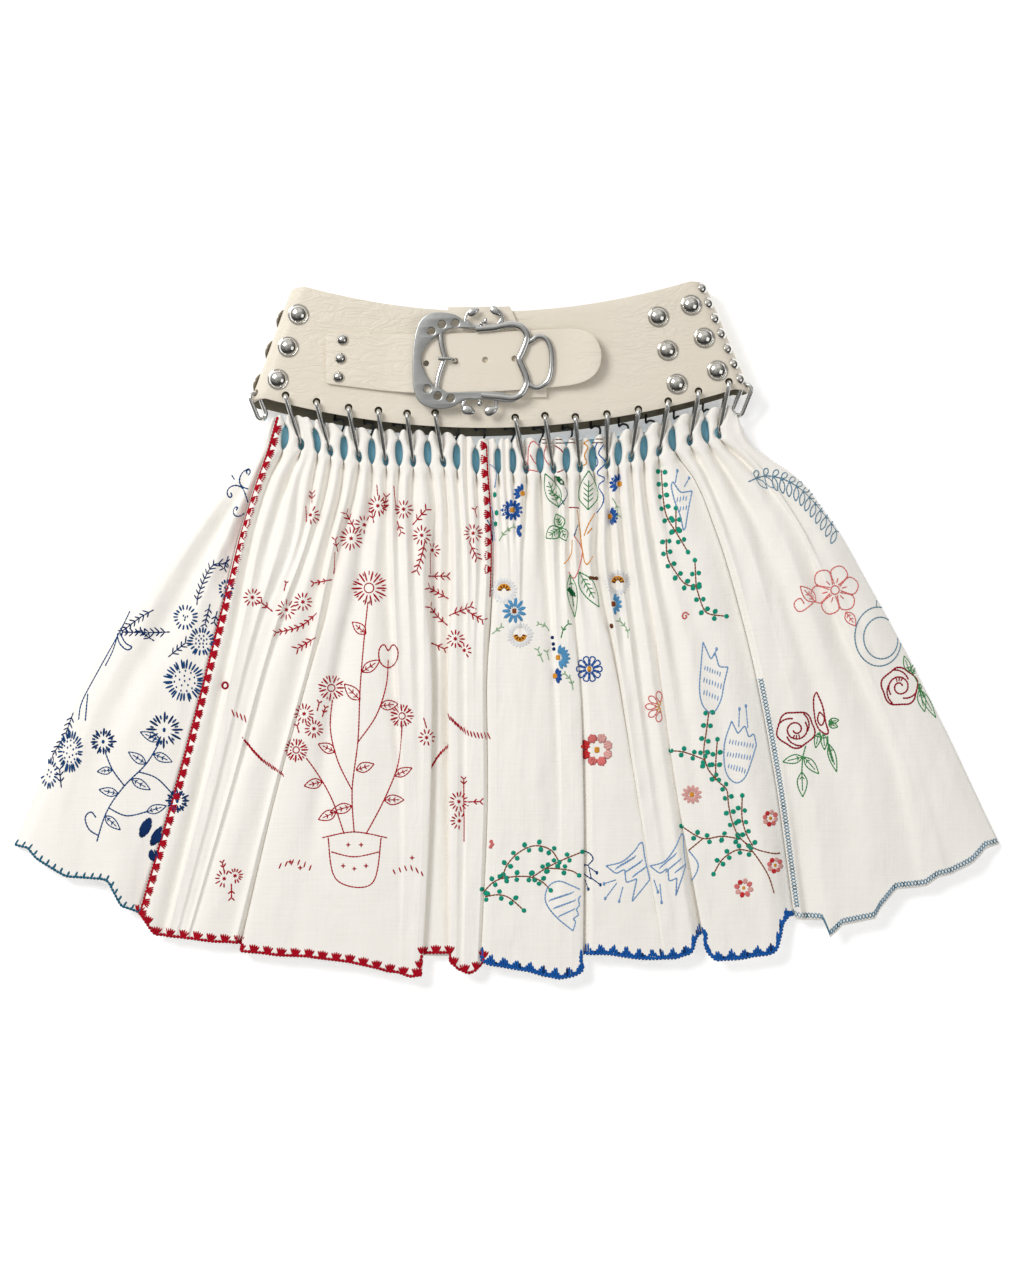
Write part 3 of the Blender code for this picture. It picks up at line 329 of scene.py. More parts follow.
def stretched_noise(nodes, links, source, scale, stretch, detail):
    mapping = nodes.new("ShaderNodeMapping")
    mapping.inputs["Scale"].default_value = stretch
    links.new(source, mapping.inputs["Vector"])
    texture = nodes.new("ShaderNodeTexNoise")
    texture.inputs["Scale"].default_value = scale
    texture.inputs["Detail"].default_value = detail
    links.new(mapping.outputs["Vector"], texture.inputs["Vector"])
    return texture.outputs["Fac"]


def math_node(nodes, links, operation, a, b):
    node = nodes.new("ShaderNodeMath")
    node.operation = operation
    for socket, value in zip(node.inputs, (a, b)):
        if isinstance(value, (int, float)):
            socket.default_value = value
        else:
            links.new(value, socket)
    return node.outputs[0]


def make_weave_group():
    """Slubby plain weave: thread lines both ways and the soft crumple of washed linen."""
    group, nodes, links, given, out = new_group(
        "linen weave",
        (("Light", "NodeSocketColor", (0.9, 0.88, 0.83, 1)), ("Shade", "NodeSocketColor", (0.8, 0.77, 0.7, 1)),
         ("Slub", "NodeSocketFloat", 1.0)),
        (("Color", "NodeSocketColor"), ("Height", "NodeSocketFloat")))
    place = nodes.new("ShaderNodeTexCoord").outputs["Object"]
    down = stretched_noise(nodes, links, place, 90, (9, 0.35, 1), 3)
    across = stretched_noise(nodes, links, place, 90, (0.35, 9, 1), 3)
    soft = stretched_noise(nodes, links, place, 38, (1, 0.6, 1), 4)
    threads = math_node(nodes, links, "ADD", down, across)
    threads = math_node(nodes, links, "MULTIPLY", threads, given.outputs["Slub"])
    height = math_node(nodes, links, "ADD", math_node(nodes, links, "MULTIPLY", threads, 0.16),
                       math_node(nodes, links, "MULTIPLY", soft, 0.9))
    links.new(height, out.inputs["Height"])
    mix = nodes.new("ShaderNodeMix")
    mix.data_type = "RGBA"
    blotch = stretched_noise(nodes, links, place, 11, (1, 1, 1), 2)
    factor = math_node(nodes, links, "ADD", math_node(nodes, links, "MULTIPLY", threads, 0.35),
                       math_node(nodes, links, "MULTIPLY", blotch, 0.3))
    links.new(math_node(nodes, links, "SUBTRACT", factor, 0.25), mix.inputs["Factor"])
    links.new(given.outputs["Light"], mix.inputs["A"])
    links.new(given.outputs["Shade"], mix.inputs["B"])
    links.new(mix.outputs["Result"], out.inputs["Color"])
    return group


def make_linen(name, light, shade, slub=1.0, sheen=0.15):
    material, nodes, links, shader = new_material(name, 0.9)
    shader.inputs["Sheen Weight"].default_value = sheen
    shader.inputs["Sheen Roughness"].default_value = 0.5
    shader.inputs["Specular IOR Level"].default_value = 0.2
    weave = nodes.new("ShaderNodeGroup")
    weave.node_tree = WEAVE
    weave.inputs["Light"].default_value = (*light, 1)
    weave.inputs["Shade"].default_value = (*shade, 1)
    weave.inputs["Slub"].default_value = slub
    links.new(weave.outputs["Color"], shader.inputs["Base Color"])
    bump = nodes.new("ShaderNodeBump")
    bump.inputs["Strength"].default_value = 0.8
    bump.inputs["Distance"].default_value = 0.0018
    links.new(weave.outputs["Height"], bump.inputs["Height"])
    links.new(bump.outputs["Normal"], shader.inputs["Normal"])
    return material


WEAVE = make_weave_group()
LINEN = make_linen("washed linen", (0.955, 0.925, 0.865), (0.86, 0.81, 0.735))
front_x, front_y, front_z = front_points()
seam_columns = [4 * STEPS * FOLD_NAMES.index(seam) for seam in ("seam_left", "seam_middle", "seam_right")]
limits = [0, *seam_columns, front_x.shape[0] - 1]
panels = {}
for number, name in enumerate(("panel_left", "panel_red", "panel_blue", "panel_right")):
    first, last = limits[number], limits[number + 1]
    shift = np.zeros(last - first + 1)
    shift[0] += SEAM_GAP / 2 if number > 0 else 0
    shift[-1] -= SEAM_GAP / 2 if number < 3 else 0
    points, faces = [], []
    count = last - first + 1
    for j, level in enumerate(LEVELS):
        for c in range(first, last + 1):
            points.append((front_x[c, j] + shift[c - first], front_y[c, j], front_z[c, j]))
    closed_in = set()
    for k, fold in enumerate(FOLDS):
        if fold[1]:
            middle, reach, _ = OPENINGS[fold[1]]
            rows = [j for j, level in enumerate(LEVELS[:-1]) if abs(level + 0.0015 - middle) < reach]
            span = range(4 * STEPS * k - STEPS, 4 * STEPS * k + STEPS)
            closed_in |= {(j, c - first) for j in rows for c in span}
    for j in range(len(LEVELS) - 1):
        for i in range(count - 1):
            if (j, i) not in closed_in:
                faces.append((j * count + i, (j + 1) * count + i, (j + 1) * count + i + 1, j * count + i + 1))
    # The heading's top edge is folded inward
    top = len(points)
    for turn, (back, drop) in enumerate(((-0.5, 0.7), (0.5, 1.9), (3.0, 2.6))):
        for i in range(count):
            x, y, z = points[i]
            points.append((x, y - back, z - drop))
        for i in range(count - 1):
            above = i if turn == 0 else top + (turn - 1) * count + i
            here = top + turn * count + i
            faces.append((here, above, above + 1, here + 1))
    panel = mesh_object(name + "_cloth", points, faces)
    bm = bmesh.new()
    bm.from_mesh(panel.data)
    bmesh.ops.delete(bm, geom=[v for v in bm.verts if not v.link_faces], context="VERTS")
    bm.to_mesh(panel.data)
    bm.free()
    thicken(panel, 1.0)
    panel.data.materials.append(LINEN)
    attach(panel, "root")
    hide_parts(name)
    panels[name] = panel

# Back of the skirt: one sheet that lies flat on the surface, seen past the hem and in the gap under the belt.
# The dark teal work on its hem is not drawn.
back_points, back_faces = [], []
BACK_COLUMNS, BACK_ROWS = 60, 40
for j in range(BACK_ROWS + 1):
    level = lerp(0.02, 1.0, j / BACK_ROWS)
    at = np.array([level, 0.0, 1.0])
    left, right = fold_x(0, at), fold_x(len(FOLDS) - 1, at)
    for i in range(BACK_COLUMNS + 1):
        t = i / BACK_COLUMNS
        top = outline_y(HEADING, lerp(left[1], right[1], t)) - LOBE_NOTCH
        low = outline_y(BACK_HEM, lerp(left[2], right[2], t))
        back_points.append((lerp(left[0], right[0], t), lerp(top, low, level), BACK_CLOTH))
for j in range(BACK_ROWS):
    for i in range(BACK_COLUMNS):
        a, b = j * (BACK_COLUMNS + 1) + i, (j + 1) * (BACK_COLUMNS + 1) + i
        back_faces.append((a, b, b + 1, a + 1))
back = mesh_object("back_cloth", back_points, back_faces)
thicken(back, BACK_CLOTH)
back.data.materials.append(LINEN)
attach(back, "root")
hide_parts("skirt_back")

# Heading tape: a flat blue woven tape inside the gathers. It shows through the openings
# between the lobes, where the gathering puffs it out into small smooth ovals.
TAPE, TAPE_LEVELS, TAPE_INSET, TAPE_DROP, TAPE_BACK_SAG = 1.2, (0.024, 0.034, 0.044, 0.055, 0.066), 4.5, 1.75, 18.0
PUFF_HALF_WIDTH, PUFF_RISE, PUFF_ROWS, PUFF_COLUMNS = 3.5, 1.7, 12, 8
TAPE_COLOUR, TAPE_SHADE = (0.36, 0.78, 0.95), (0.16, 0.56, 0.82)


def fold_place(k, level):
    """Plan y down the cloth at one fold's valley."""
    head, hem = outline_y(HEADING, FOLDS[k][2][0]), outline_y(HEM, FOLDS[k][2][-1])
    return lerp(head, hem, level)


tape_points, tape_faces = [], []
opened = [k for k, fold in enumerate(FOLDS) if fold[1]]
for level in TAPE_LEVELS:
    at = np.array([level])
    height = through(VALLEY_LEVELS, VALLEY_HEIGHTS, at)[0] - TAPE_DROP
    row = [(fold_x(k, at)[0] + side, fold_place(k, level), height) for k in opened for side in (-3.1, 0.0, 3.1)]
    left, right = row[0], row[-1]
    turn_left, turn_right = left[0] - TAPE_INSET, right[0] + TAPE_INSET
    row.append((turn_right, right[1], 5.0))
    for n, t in enumerate(np.linspace(0.02, 0.98, 9)):
        row.append((lerp(turn_right, turn_left, t), lerp(right[1], left[1], t) - TAPE_BACK_SAG * math.sin(math.pi * n / 8),
                    CLOTH_EDGE - CLOTH))
    row.append((turn_left, left[1], 5.0))
    tape_points += row
    size = len(row)
for j in range(len(TAPE_LEVELS) - 1):
    for i in range(size):
        n = (i + 1) % size
        tape_faces.append((j * size + i, (j + 1) * size + i, (j + 1) * size + n, j * size + n))
middle, reach, _ = OPENINGS["oval"]
for k in opened:
    if FOLDS[k][1] != "oval":
        continue
    first = len(tape_points)
    seat = valley_height(k, np.array([middle]))[0] - 1.5
    for j in range(PUFF_ROWS + 1):
        v = -1 + 2 * j / PUFF_ROWS
        level = middle + v * reach * 1.05
        x, y = fold_x(k, np.array([level]))[0], fold_place(k, level)
        for i in range(PUFF_COLUMNS + 1):
            u = -1 + 2 * i / PUFF_COLUMNS
            wide = math.sqrt(max(1 - v * v, 0.02))
            tape_points.append((x + u * PUFF_HALF_WIDTH * wide, y, seat + PUFF_RISE * wide * math.sqrt(1 - u * u)))
    for j in range(PUFF_ROWS):
        for i in range(PUFF_COLUMNS):
            p, q = first + j * (PUFF_COLUMNS + 1) + i, first + (j + 1) * (PUFF_COLUMNS + 1) + i
            tape_faces.append((p, q, q + 1, p + 1))
tape = mesh_object("tape_cloth", tape_points, tape_faces)
thicken(tape, TAPE)
tape_blue, nodes, links, shader = new_material("blue tape", 0.42)
place = nodes.new("ShaderNodeTexCoord").outputs["Object"]
ribs = stretched_noise(nodes, links, place, 160, (6, 0.5, 1), 2)
ramp = nodes.new("ShaderNodeMix")
ramp.data_type = "RGBA"
ramp.inputs["A"].default_value = (*TAPE_SHADE, 1)
ramp.inputs["B"].default_value = (*TAPE_COLOUR, 1)
links.new(math_node(nodes, links, "ADD", math_node(nodes, links, "MULTIPLY", ribs, 0.8), 0.35), ramp.inputs["Factor"])
links.new(ramp.outputs["Result"], shader.inputs["Base Color"])
tape.data.materials.append(tape_blue)
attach(tape, "root")
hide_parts("heading_tape")

# Belt: a curved band of thick cream leather lying flattened, its sides rolled over, with a
# punched hole for each link along its lower edge.
LEATHER, BELT_DEPTH, LINK_HOLE = 3.0, 28.0, 6.6
ROLL = BELT_DEPTH / 2
BELT_TOP_LEFT, BELT_TOP_RIGHT, BELT_TOP_SAG = (-186.5, 294.5), (170.5, 299.5), 23.5
BELT_LOW_LEFT, BELT_LOW_RIGHT, BELT_LOW_SAG = (-221.0, 199.0), (209.0, 207.5), 29.0
BACK_DROP_LEFT, BACK_DROP_RIGHT = 8.0, 3.0
LINKS = (
    # hole x, hole y, valley
    (-189.5, 201.5, "r2"), (-163.0, 196.0, "r5"), (-135.5, 191.0, "r7"), (-110.0, 188.5, "r9"),
    (-85.5, 186.0, "r11"), (-61.5, 186.5, "r13"), (7.0, 182.5, "b4"), (32.5, 184.0, "b6"),
    (58.5, 183.0, "b8"), (85.5, 185.5, "b10"), (112.5, 189.5, "b12"), (138.0, 196.5, "b14"),
    (164.0, 205.0, "s1"), (190.0, 213.0, "s3"),
)
EDGE_LINKS = (
    # name, side, height on the belt, turn on the roll, centre of the lower end
    ("link_left_side", -1, 0.93, 52, (-211.0, 186.5, 19.0)),
    ("link_right_side", 1, 0.94, 62, (199.0, 190.0, 15.0)),
)


def roll_share(h):
    return ROLL / (lerp(BELT_TOP_RIGHT[0], BELT_LOW_RIGHT[0], h) - lerp(BELT_TOP_LEFT[0], BELT_LOW_LEFT[0], h))


def belt_point(s, h, turn):
    """Point on the belt's outer face: turn is 0 on the front and 180 on the back."""
    left = [lerp(a, b, h) for a, b in zip(BELT_TOP_LEFT, BELT_LOW_LEFT)]
    right = [lerp(a, b, h) for a, b in zip(BELT_TOP_RIGHT, BELT_LOW_RIGHT)]
    edge = roll_share(h)
    along = min(max((s - edge) / (1 - 2 * edge), 0.0), 1.0)
    sag = lerp(BELT_TOP_SAG, BELT_LOW_SAG, h) * 4 * along * (1 - along)
    angle, side = math.radians(turn), -1 if s < 0.5 else 1
    drop = lerp(BACK_DROP_LEFT, BACK_DROP_RIGHT, s) * (1 - math.cos(angle)) / 2
    return (lerp(left[0], right[0], s) + side * ROLL * math.sin(angle),
            lerp(left[1], right[1], s) - sag - drop, ROLL + ROLL * math.cos(angle))


def roll_spot(side, h, turn):
    """Point on the roll at one side, the outward normal and the way down there."""
    s = [roll_share(level) if side < 0 else 1 - roll_share(level) for level in (h, h + 0.01)]
    point = Vector(belt_point(s[0], h, turn))
    down = Vector(belt_point(s[1], h + 0.01, turn)) - point
    round_it = Vector(belt_point(s[0], h, turn + 1.0)) - point
    return point, (round_it.cross(down) * -side).normalized(), down.normalized()


def make_leather_group():
    """Fine pores, long soft wrinkles where the hide was stretched, and a faint stain."""
    group, nodes, links, given, out = new_group(
        "cream hide",
        (("Light", "NodeSocketColor", (0.8, 0.75, 0.66, 1)), ("Shade", "NodeSocketColor", (0.7, 0.63, 0.52, 1)),
         ("Wrinkle", "NodeSocketFloat", 1.0)),
        (("Color", "NodeSocketColor"), ("Height", "NodeSocketFloat")))
    place = nodes.new("ShaderNodeTexCoord").outputs["Object"]
    pores = stretched_noise(nodes, links, place, 900, (1, 1, 1), 2)
    warp = nodes.new("ShaderNodeTexNoise")
    warp.inputs["Scale"].default_value = 60
    warp.inputs["Detail"].default_value = 6
    warp.inputs["Distortion"].default_value = 1.6
    mapping = nodes.new("ShaderNodeMapping")
    mapping.inputs["Scale"].default_value = (0.55, 1.5, 1)
    mapping.inputs["Rotation"].default_value = (0, 0, 0.45)
    links.new(place, mapping.inputs["Vector"])
    links.new(mapping.outputs["Vector"], warp.inputs["Vector"])
    ridge = math_node(nodes, links, "ABSOLUTE", math_node(nodes, links, "SUBTRACT", warp.outputs["Fac"], 0.5), 0.0)
    ridge = math_node(nodes, links, "MINIMUM", math_node(nodes, links, "MULTIPLY", ridge, 9.0), 1.0)
    where = stretched_noise(nodes, links, place, 9, (1, 1, 1), 1)
    where = math_node(nodes, links, "MULTIPLY", math_node(nodes, links, "SUBTRACT", where, 0.34), 2.8)
    where = math_node(nodes, links, "MINIMUM", math_node(nodes, links, "MAXIMUM", where, 0.0), 1.0)
    wrinkle = math_node(nodes, links, "MULTIPLY", math_node(nodes, links, "MULTIPLY", ridge, where),
                        given.outputs["Wrinkle"])
    height = math_node(nodes, links, "ADD", math_node(nodes, links, "MULTIPLY", pores, 0.12), wrinkle)
    links.new(height, out.inputs["Height"])
    mix = nodes.new("ShaderNodeMix")
    mix.data_type = "RGBA"
    blotch = stretched_noise(nodes, links, place, 7, (1, 1.6, 1), 3)
    links.new(blotch, mix.inputs["Factor"])
    links.new(given.outputs["Light"], mix.inputs["A"])
    links.new(given.outputs["Shade"], mix.inputs["B"])
    links.new(mix.outputs["Result"], out.inputs["Color"])
    return group


def make_leather(name, light, shade, wrinkle):
    material, nodes, links, shader = new_material(name, 0.48)
    hide = nodes.new("ShaderNodeGroup")
    hide.node_tree = HIDE
    hide.inputs["Light"].default_value = (*light, 1)
    hide.inputs["Shade"].default_value = (*shade, 1)
    hide.inputs["Wrinkle"].default_value = wrinkle
    links.new(hide.outputs["Color"], shader.inputs["Base Color"])
    bump = nodes.new("ShaderNodeBump")
    bump.inputs["Strength"].default_value = 0.5
    bump.inputs["Distance"].default_value = 0.0008
    links.new(hide.outputs["Height"], bump.inputs["Height"])
    links.new(bump.outputs["Normal"], shader.inputs["Normal"])
    return material


def soften(obj, width, segments=2, angle=35):
    bevel = obj.modifiers.new("edges", "BEVEL")
    bevel.width = width * MM
    bevel.segments = segments
    bevel.limit_method = "ANGLE"
    bevel.angle_limit = math.radians(angle)


HIDE = make_leather_group()
CREAM = make_leather("cream leather", (0.80, 0.735, 0.625), (0.73, 0.655, 0.535), 1.0)
# The belt's inner face is the same cream leather; its dark brown colour is painted shade for the shadow inside the belt
# loop.
SHADED_INSIDE_LEATHER = make_leather("painted shade inside leather", (0.30, 0.255, 0.17), (0.17, 0.14, 0.09), 0.3)
FRONT_COLUMNS, ROLL_STEPS, BACK_STEPS, BELT_ROWS = 90, 14, 40, 14
belt_points, belt_faces = [], []
for j in range(BELT_ROWS + 1):
    h = j / BELT_ROWS
    edge = roll_share(h)
    ring = [belt_point(lerp(edge, 1 - edge, i / FRONT_COLUMNS), h, 0) for i in range(FRONT_COLUMNS + 1)]
    ring += [belt_point(1 - edge, h, 180 * i / ROLL_STEPS) for i in range(1, ROLL_STEPS)]
    ring += [belt_point(lerp(1 - edge, edge, i / BACK_STEPS), h, 180) for i in range(BACK_STEPS + 1)]
    ring += [belt_point(edge, h, 180 - 180 * i / ROLL_STEPS) for i in range(1, ROLL_STEPS)]
    belt_points += ring
    size = len(ring)
for j in range(BELT_ROWS):
    for i in range(size):
        n = (i + 1) % size
        belt_faces.append((j * size + i, (j + 1) * size + i, (j + 1) * size + n, j * size + n))
belt = mesh_object("belt_leather", belt_points, belt_faces)
belt.data.materials.append(CREAM)
# Second slot: the painted shade colour, taken by the inner shell of the solidified band.
belt.data.materials.append(SHADED_INSIDE_LEATHER)
thicken(belt, LEATHER).material_offset = 1
punches = bmesh.new()
spots = [(Vector((x, y + 0.4, BELT_DEPTH - LEATHER / 2)), Vector((0, 0, 1))) for x, y, _ in LINKS]
for _, side, h, turn, _ in EDGE_LINKS:
    point, normal, _ = roll_spot(side, h, turn)
    spots.append((point - normal * LEATHER / 2, normal))
for centre, normal in spots:
    turn_to = normal.to_track_quat("Z", "Y").to_matrix().to_4x4()
    turn_to.translation = centre * MM
    bmesh.ops.create_cone(punches, cap_ends=True, segments=24, radius1=LINK_HOLE / 2 * MM,
                          radius2=LINK_HOLE / 2 * MM, depth=8 * MM, matrix=turn_to)
punch_mesh = bpy.data.meshes.new("punches")
punches.to_mesh(punch_mesh)
punches.free()
punch = bpy.data.objects.new("punches", punch_mesh)
bpy.context.scene.collection.objects.link(punch)
cut = belt.modifiers.new("link holes", "BOOLEAN")
cut.operation = "DIFFERENCE"
cut.object = punch
soften(belt, 0.7)
bpy.context.view_layer.update()
finished = bpy.data.meshes.new_from_object(belt.evaluated_get(bpy.context.evaluated_depsgraph_get()))
belt.modifiers.clear()
belt.data = finished
bpy.data.objects.remove(punch)
belt.data.shade_smooth()
belt.data.set_sharp_from_angle(angle=math.radians(50))
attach(belt, "root")
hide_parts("belt")

# Studs and rivets: pressed nickel domes with a thin rolled rim, riveted through the leather
# in slanting rows, with smaller ones along the right fold and on the strap's fixed end.
def make_metal(name, colour, roughness, cloud=0.12, dents=0.25):
    """Polished nickel, with faint cloudy wear in its roughness."""
    material, nodes, links, shader = new_material(name, roughness, 1.0)
    shader.inputs["Base Color"].default_value = (*colour, 1)
    place = nodes.new("ShaderNodeTexCoord").outputs["Object"]
    wear = stretched_noise(nodes, links, place, 120, (1, 1, 1), 4)
    level = math_node(nodes, links, "ADD", math_node(nodes, links, "MULTIPLY", wear, cloud), roughness - cloud / 2)
    links.new(level, shader.inputs["Roughness"])
    bump = nodes.new("ShaderNodeBump")
    bump.inputs["Strength"].default_value = dents
    bump.inputs["Distance"].default_value = 0.0003
    links.new(stretched_noise(nodes, links, place, 260, (1, 1, 1), 2), bump.inputs["Height"])
    links.new(bump.outputs["Normal"], shader.inputs["Normal"])
    return material


NICKEL = make_metal("polished nickel", (0.76, 0.74, 0.70), 0.10, 0.06, 0.05)
LARGE_DOME = ((0, 5.0), (1.6, 4.9), (3.2, 4.55), (4.8, 3.95), (6.2, 3.0), (7.2, 1.9), (7.7, 1.0), (7.9, 0.75),
              (8.3, 0.95), (8.8, 0.8), (9.0, 0.35), (9.0, 0.0))
SMALL_DOME = ((0, 3.2), (1.2, 3.1), (2.4, 2.7), (3.5, 1.95), (4.3, 1.1), (4.8, 0.6), (5.0, 0.2), (5.0, 0.0))


def dome_mesh(name, profile, steps):
    points, faces = [], []
    for r, z in profile[1:]:
        points += [(r * math.cos(2 * math.pi * i / steps) * MM, r * math.sin(2 * math.pi * i / steps) * MM, z * MM)
                   for i in range(steps)]
    points.append((0, 0, profile[0][1] * MM))
    tip = len(points) - 1
    faces += [(i, (i + 1) % steps, tip) for i in range(steps)]
    for j in range(len(profile) - 2):
        for i in range(steps):
            n = (i + 1) % steps
            faces.append((j * steps + i, (j + 1) * steps + i, (j + 1) * steps + n, j * steps + n))
    faces.append([(len(profile) - 2) * steps + i for i in reversed(range(steps))])
    mesh = bpy.data.meshes.new(name)
    mesh.from_pydata(points, [], faces)
    mesh.shade_smooth()
    mesh.set_sharp_from_angle(angle=math.radians(60))
    return mesh


def seat_dome(name, mesh, node):
    """A finer dome in the place of the solid's own stud."""
    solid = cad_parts[node]
    stud = bpy.data.objects.new(name, mesh)
    bpy.context.scene.collection.objects.link(stud)
    stud.data.materials.clear()
    stud.data.materials.append(NICKEL)
    point, normal = STUD_SEATS[node]
    stud.location = Vector(point) * MM + Vector(normal) * SEAM_GAP * MM
    stud.rotation_mode = "QUATERNION"
    stud.rotation_quaternion = Vector(normal).to_track_quat("Z", "Y")
    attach(stud, "root")
    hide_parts(node)


UP = Vector((0, 0, 1))
STUD_ROWS = (
    # name, first, last centre, count, height
    ("stud_left", (-178.5, 271.0), (-196.0, 215.5), 3, BELT_DEPTH),
    ("stud_inner", (129.5, 269.0), (145.5, 211.5), 3, BELT_DEPTH),
    ("stud_outer", (157.5, 279.0), (180.0, 223.0), 3, BELT_DEPTH),
    ("strap_rivet", (-140.5, 249.0), (-144.0, 217.0), 3, BELT_DEPTH + SEAM_GAP + LEATHER),
)
STUD_SEATS = {}
for name, first, last, count, height in STUD_ROWS:
    for i in range(count):
        x, y = (lerp(a, b, i / (count - 1)) for a, b in zip(first, last))
        STUD_SEATS[f"{name}_{i + 1}"] = ((x, y, height), UP)
for i, h in enumerate((0.22, 0.50, 0.80)):
    STUD_SEATS[f"stud_edge_{i + 1}"] = roll_spot(-1, h, 108)[:2]
for i in range(7):
    STUD_SEATS[f"stud_small_{i + 1}"] = roll_spot(1, lerp(0.055, 0.90, i / 6), 40)[:2]
large, small = dome_mesh("large dome", LARGE_DOME, 40), dome_mesh("small dome", SMALL_DOME, 28)
for node in STUD_SEATS:
    seat_dome(node.replace("stud", "dome"), large if "small" not in node and "rivet" not in node else small, node)

# Links: bent nickel wire, pear-shaped, each with a hinged straight side. They pass through
# the belt's holes and through the heading, round the tape.
LINK_WIRE, LINK_END, EDGE_LINK_RADIUS = 4.0, 0.060, 4.6
LINK_TOP = ((7.0, 12.6), (2.0, 17.5), (0.0, 22.0), (-0.2, 26.5), (1.5, 30.6), (5.0, 33.0))
LINK_LOW = ((-5.5, 21.0), (-1.6, 18.4), (0.0, 14.5), (-1.2, 10.6), (-4.5, 8.0))
WIRE = make_metal("link wire", (0.80, 0.80, 0.78), 0.24, 0.08, 0.0)


def smooth_loop(points, steps=5, cyclic=True):
    found = []
    count = len(points)
    for i in range(count if cyclic else count - 1):
        p = [Vector(points[(i + d) % count] if cyclic else points[min(max(i + d, 0), count - 1)])
             for d in (-1, 0, 1, 2)]
        for s in range(steps):
            t = s / steps
            found.append(0.5 * (2 * p[1] + (p[2] - p[0]) * t + (2 * p[0] - 5 * p[1] + 4 * p[2] - p[3]) * t ** 2
                                + (3 * p[1] - p[0] - 3 * p[2] + p[3]) * t ** 3))
    if not cyclic:
        found.append(Vector(points[-1]))
    return found


def tube(name, points, width, material, cyclic=False, resolution=5):
    curve = bpy.data.curves.new(name, "CURVE")
    curve.dimensions = "3D"
    curve.bevel_depth = width / 2 * MM
    curve.bevel_resolution = resolution
    curve.use_fill_caps = True
    spline = curve.splines.new("POLY")
    spline.points.add(len(points) - 1)
    for node, point in zip(spline.points, points):
        node.co = (*(Vector(point) * MM), 1.0)
    spline.use_cyclic_u = cyclic
    raw = bpy.data.objects.new(name + "_line", curve)
    bpy.context.scene.collection.objects.link(raw)
    bpy.context.view_layer.update()
    mesh = bpy.data.meshes.new_from_object(raw.evaluated_get(bpy.context.evaluated_depsgraph_get()))
    bpy.data.objects.remove(raw)
    mesh.name = name
    mesh.shade_smooth()
    obj = bpy.data.objects.new(name, mesh)
    bpy.context.scene.collection.objects.link(obj)
    obj.data.materials.clear()
    obj.data.materials.append(material)
    return obj


def finish_link(obj, node):
    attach(obj, "root")
    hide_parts(node)


for i, (hole_x, hole_y, valley) in enumerate(LINKS):
    k = FOLD_NAMES.index(valley)
    end_x = fold_x(k, np.array([LINK_END]))[0]
    end_y = lerp(outline_y(HEADING, FOLDS[k][2][0]), outline_y(HEM, FOLDS[k][2][-1]), LINK_END)
    hole, end = Vector((hole_x, hole_y, 0)), Vector((end_x, end_y, 0))
    along = (end - hole).normalized()
    length = (end - hole).length - LINK_WIRE / 2
    profile = list(LINK_TOP) + [(length + t, z) for t, z in LINK_LOW]
    path = smooth_loop([Vector((*(hole + along * t).xy, z)) for t, z in profile])
    finish_link(tube(f"wire_{i + 1}", path, LINK_WIRE, WIRE, cyclic=True), f"link_{i + 1}")
for name, side, h, turn, end in EDGE_LINKS:
    point, normal, down = roll_spot(side, h, turn)
    top = point - normal * LEATHER / 2 + down * EDGE_LINK_RADIUS
    bottom = Vector(end)
    along = (bottom - top).normalized()
    across = (normal - along * normal.dot(along)).normalized()
    path = []
    for centre, start in ((bottom, 0), (top, 180)):
        for i in range(13):
            angle = math.radians(start + 180 * i / 12)
            path.append(centre + across * EDGE_LINK_RADIUS * math.cos(angle)
                        + along * EDGE_LINK_RADIUS * math.sin(angle))
    finish_link(tube(name.replace("link", "wire"), path, LINK_WIRE, WIRE, cyclic=True), name)

# The links at the back show only as hooks in the gap under the belt's lower edge, their wire painted near black as
# painted shade for the shadow there.
BACK_HOOKS = ((340.0, 423.5), (369.4, 426.5), (399.0, 428.0), (428.0, 428.5), (454.6, 430.0), (481.0, 432.5),
              (510.0, 432.0), (539.0, 432.0), (568.0, 432.0), (596.0, 430.5), (624.0, 428.5), (651.0, 425.0),
              (679.0, 421.0), (708.0, 414.0))
# Near-black colour on these nickel hooks is painted shade.
SHADOW_DARK_WIRE = make_metal("shaded wire", (0.10, 0.10, 0.10), 0.3)
hooks = []
for u, v in BACK_HOOKS:
    x, y = (u - 512) * 0.8636 + 4.3, (640 - v) * 0.8636 - 7.6
    path = smooth_loop([(x - 4.2, y + 9, 3.0), (x - 4.4, y + 2, 5.0), (x - 1.5, y + 3.6, 7.0), (x + 2.8, y + 2.4, 7.0),
                        (x + 3.4, y - 2.5, 6.0), (x + 0.5, y - 9, 1.8)], cyclic=False)
    hooks.append(tube("hook", path, 2.0, SHADOW_DARK_WIRE, resolution=3))
hook_mesh = bmesh.new()
for piece in hooks:
    hook_mesh.from_mesh(piece.data)
    bpy.data.objects.remove(piece)
joined = bpy.data.meshes.new("back hooks")
hook_mesh.to_mesh(joined)
hook_mesh.free()
joined.shade_smooth()
back_hooks = bpy.data.objects.new("back_hooks", joined)
bpy.context.scene.collection.objects.link(back_hooks)
back_hooks.data.materials.append(SHADOW_DARK_WIRE)
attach(back_hooks, "root")

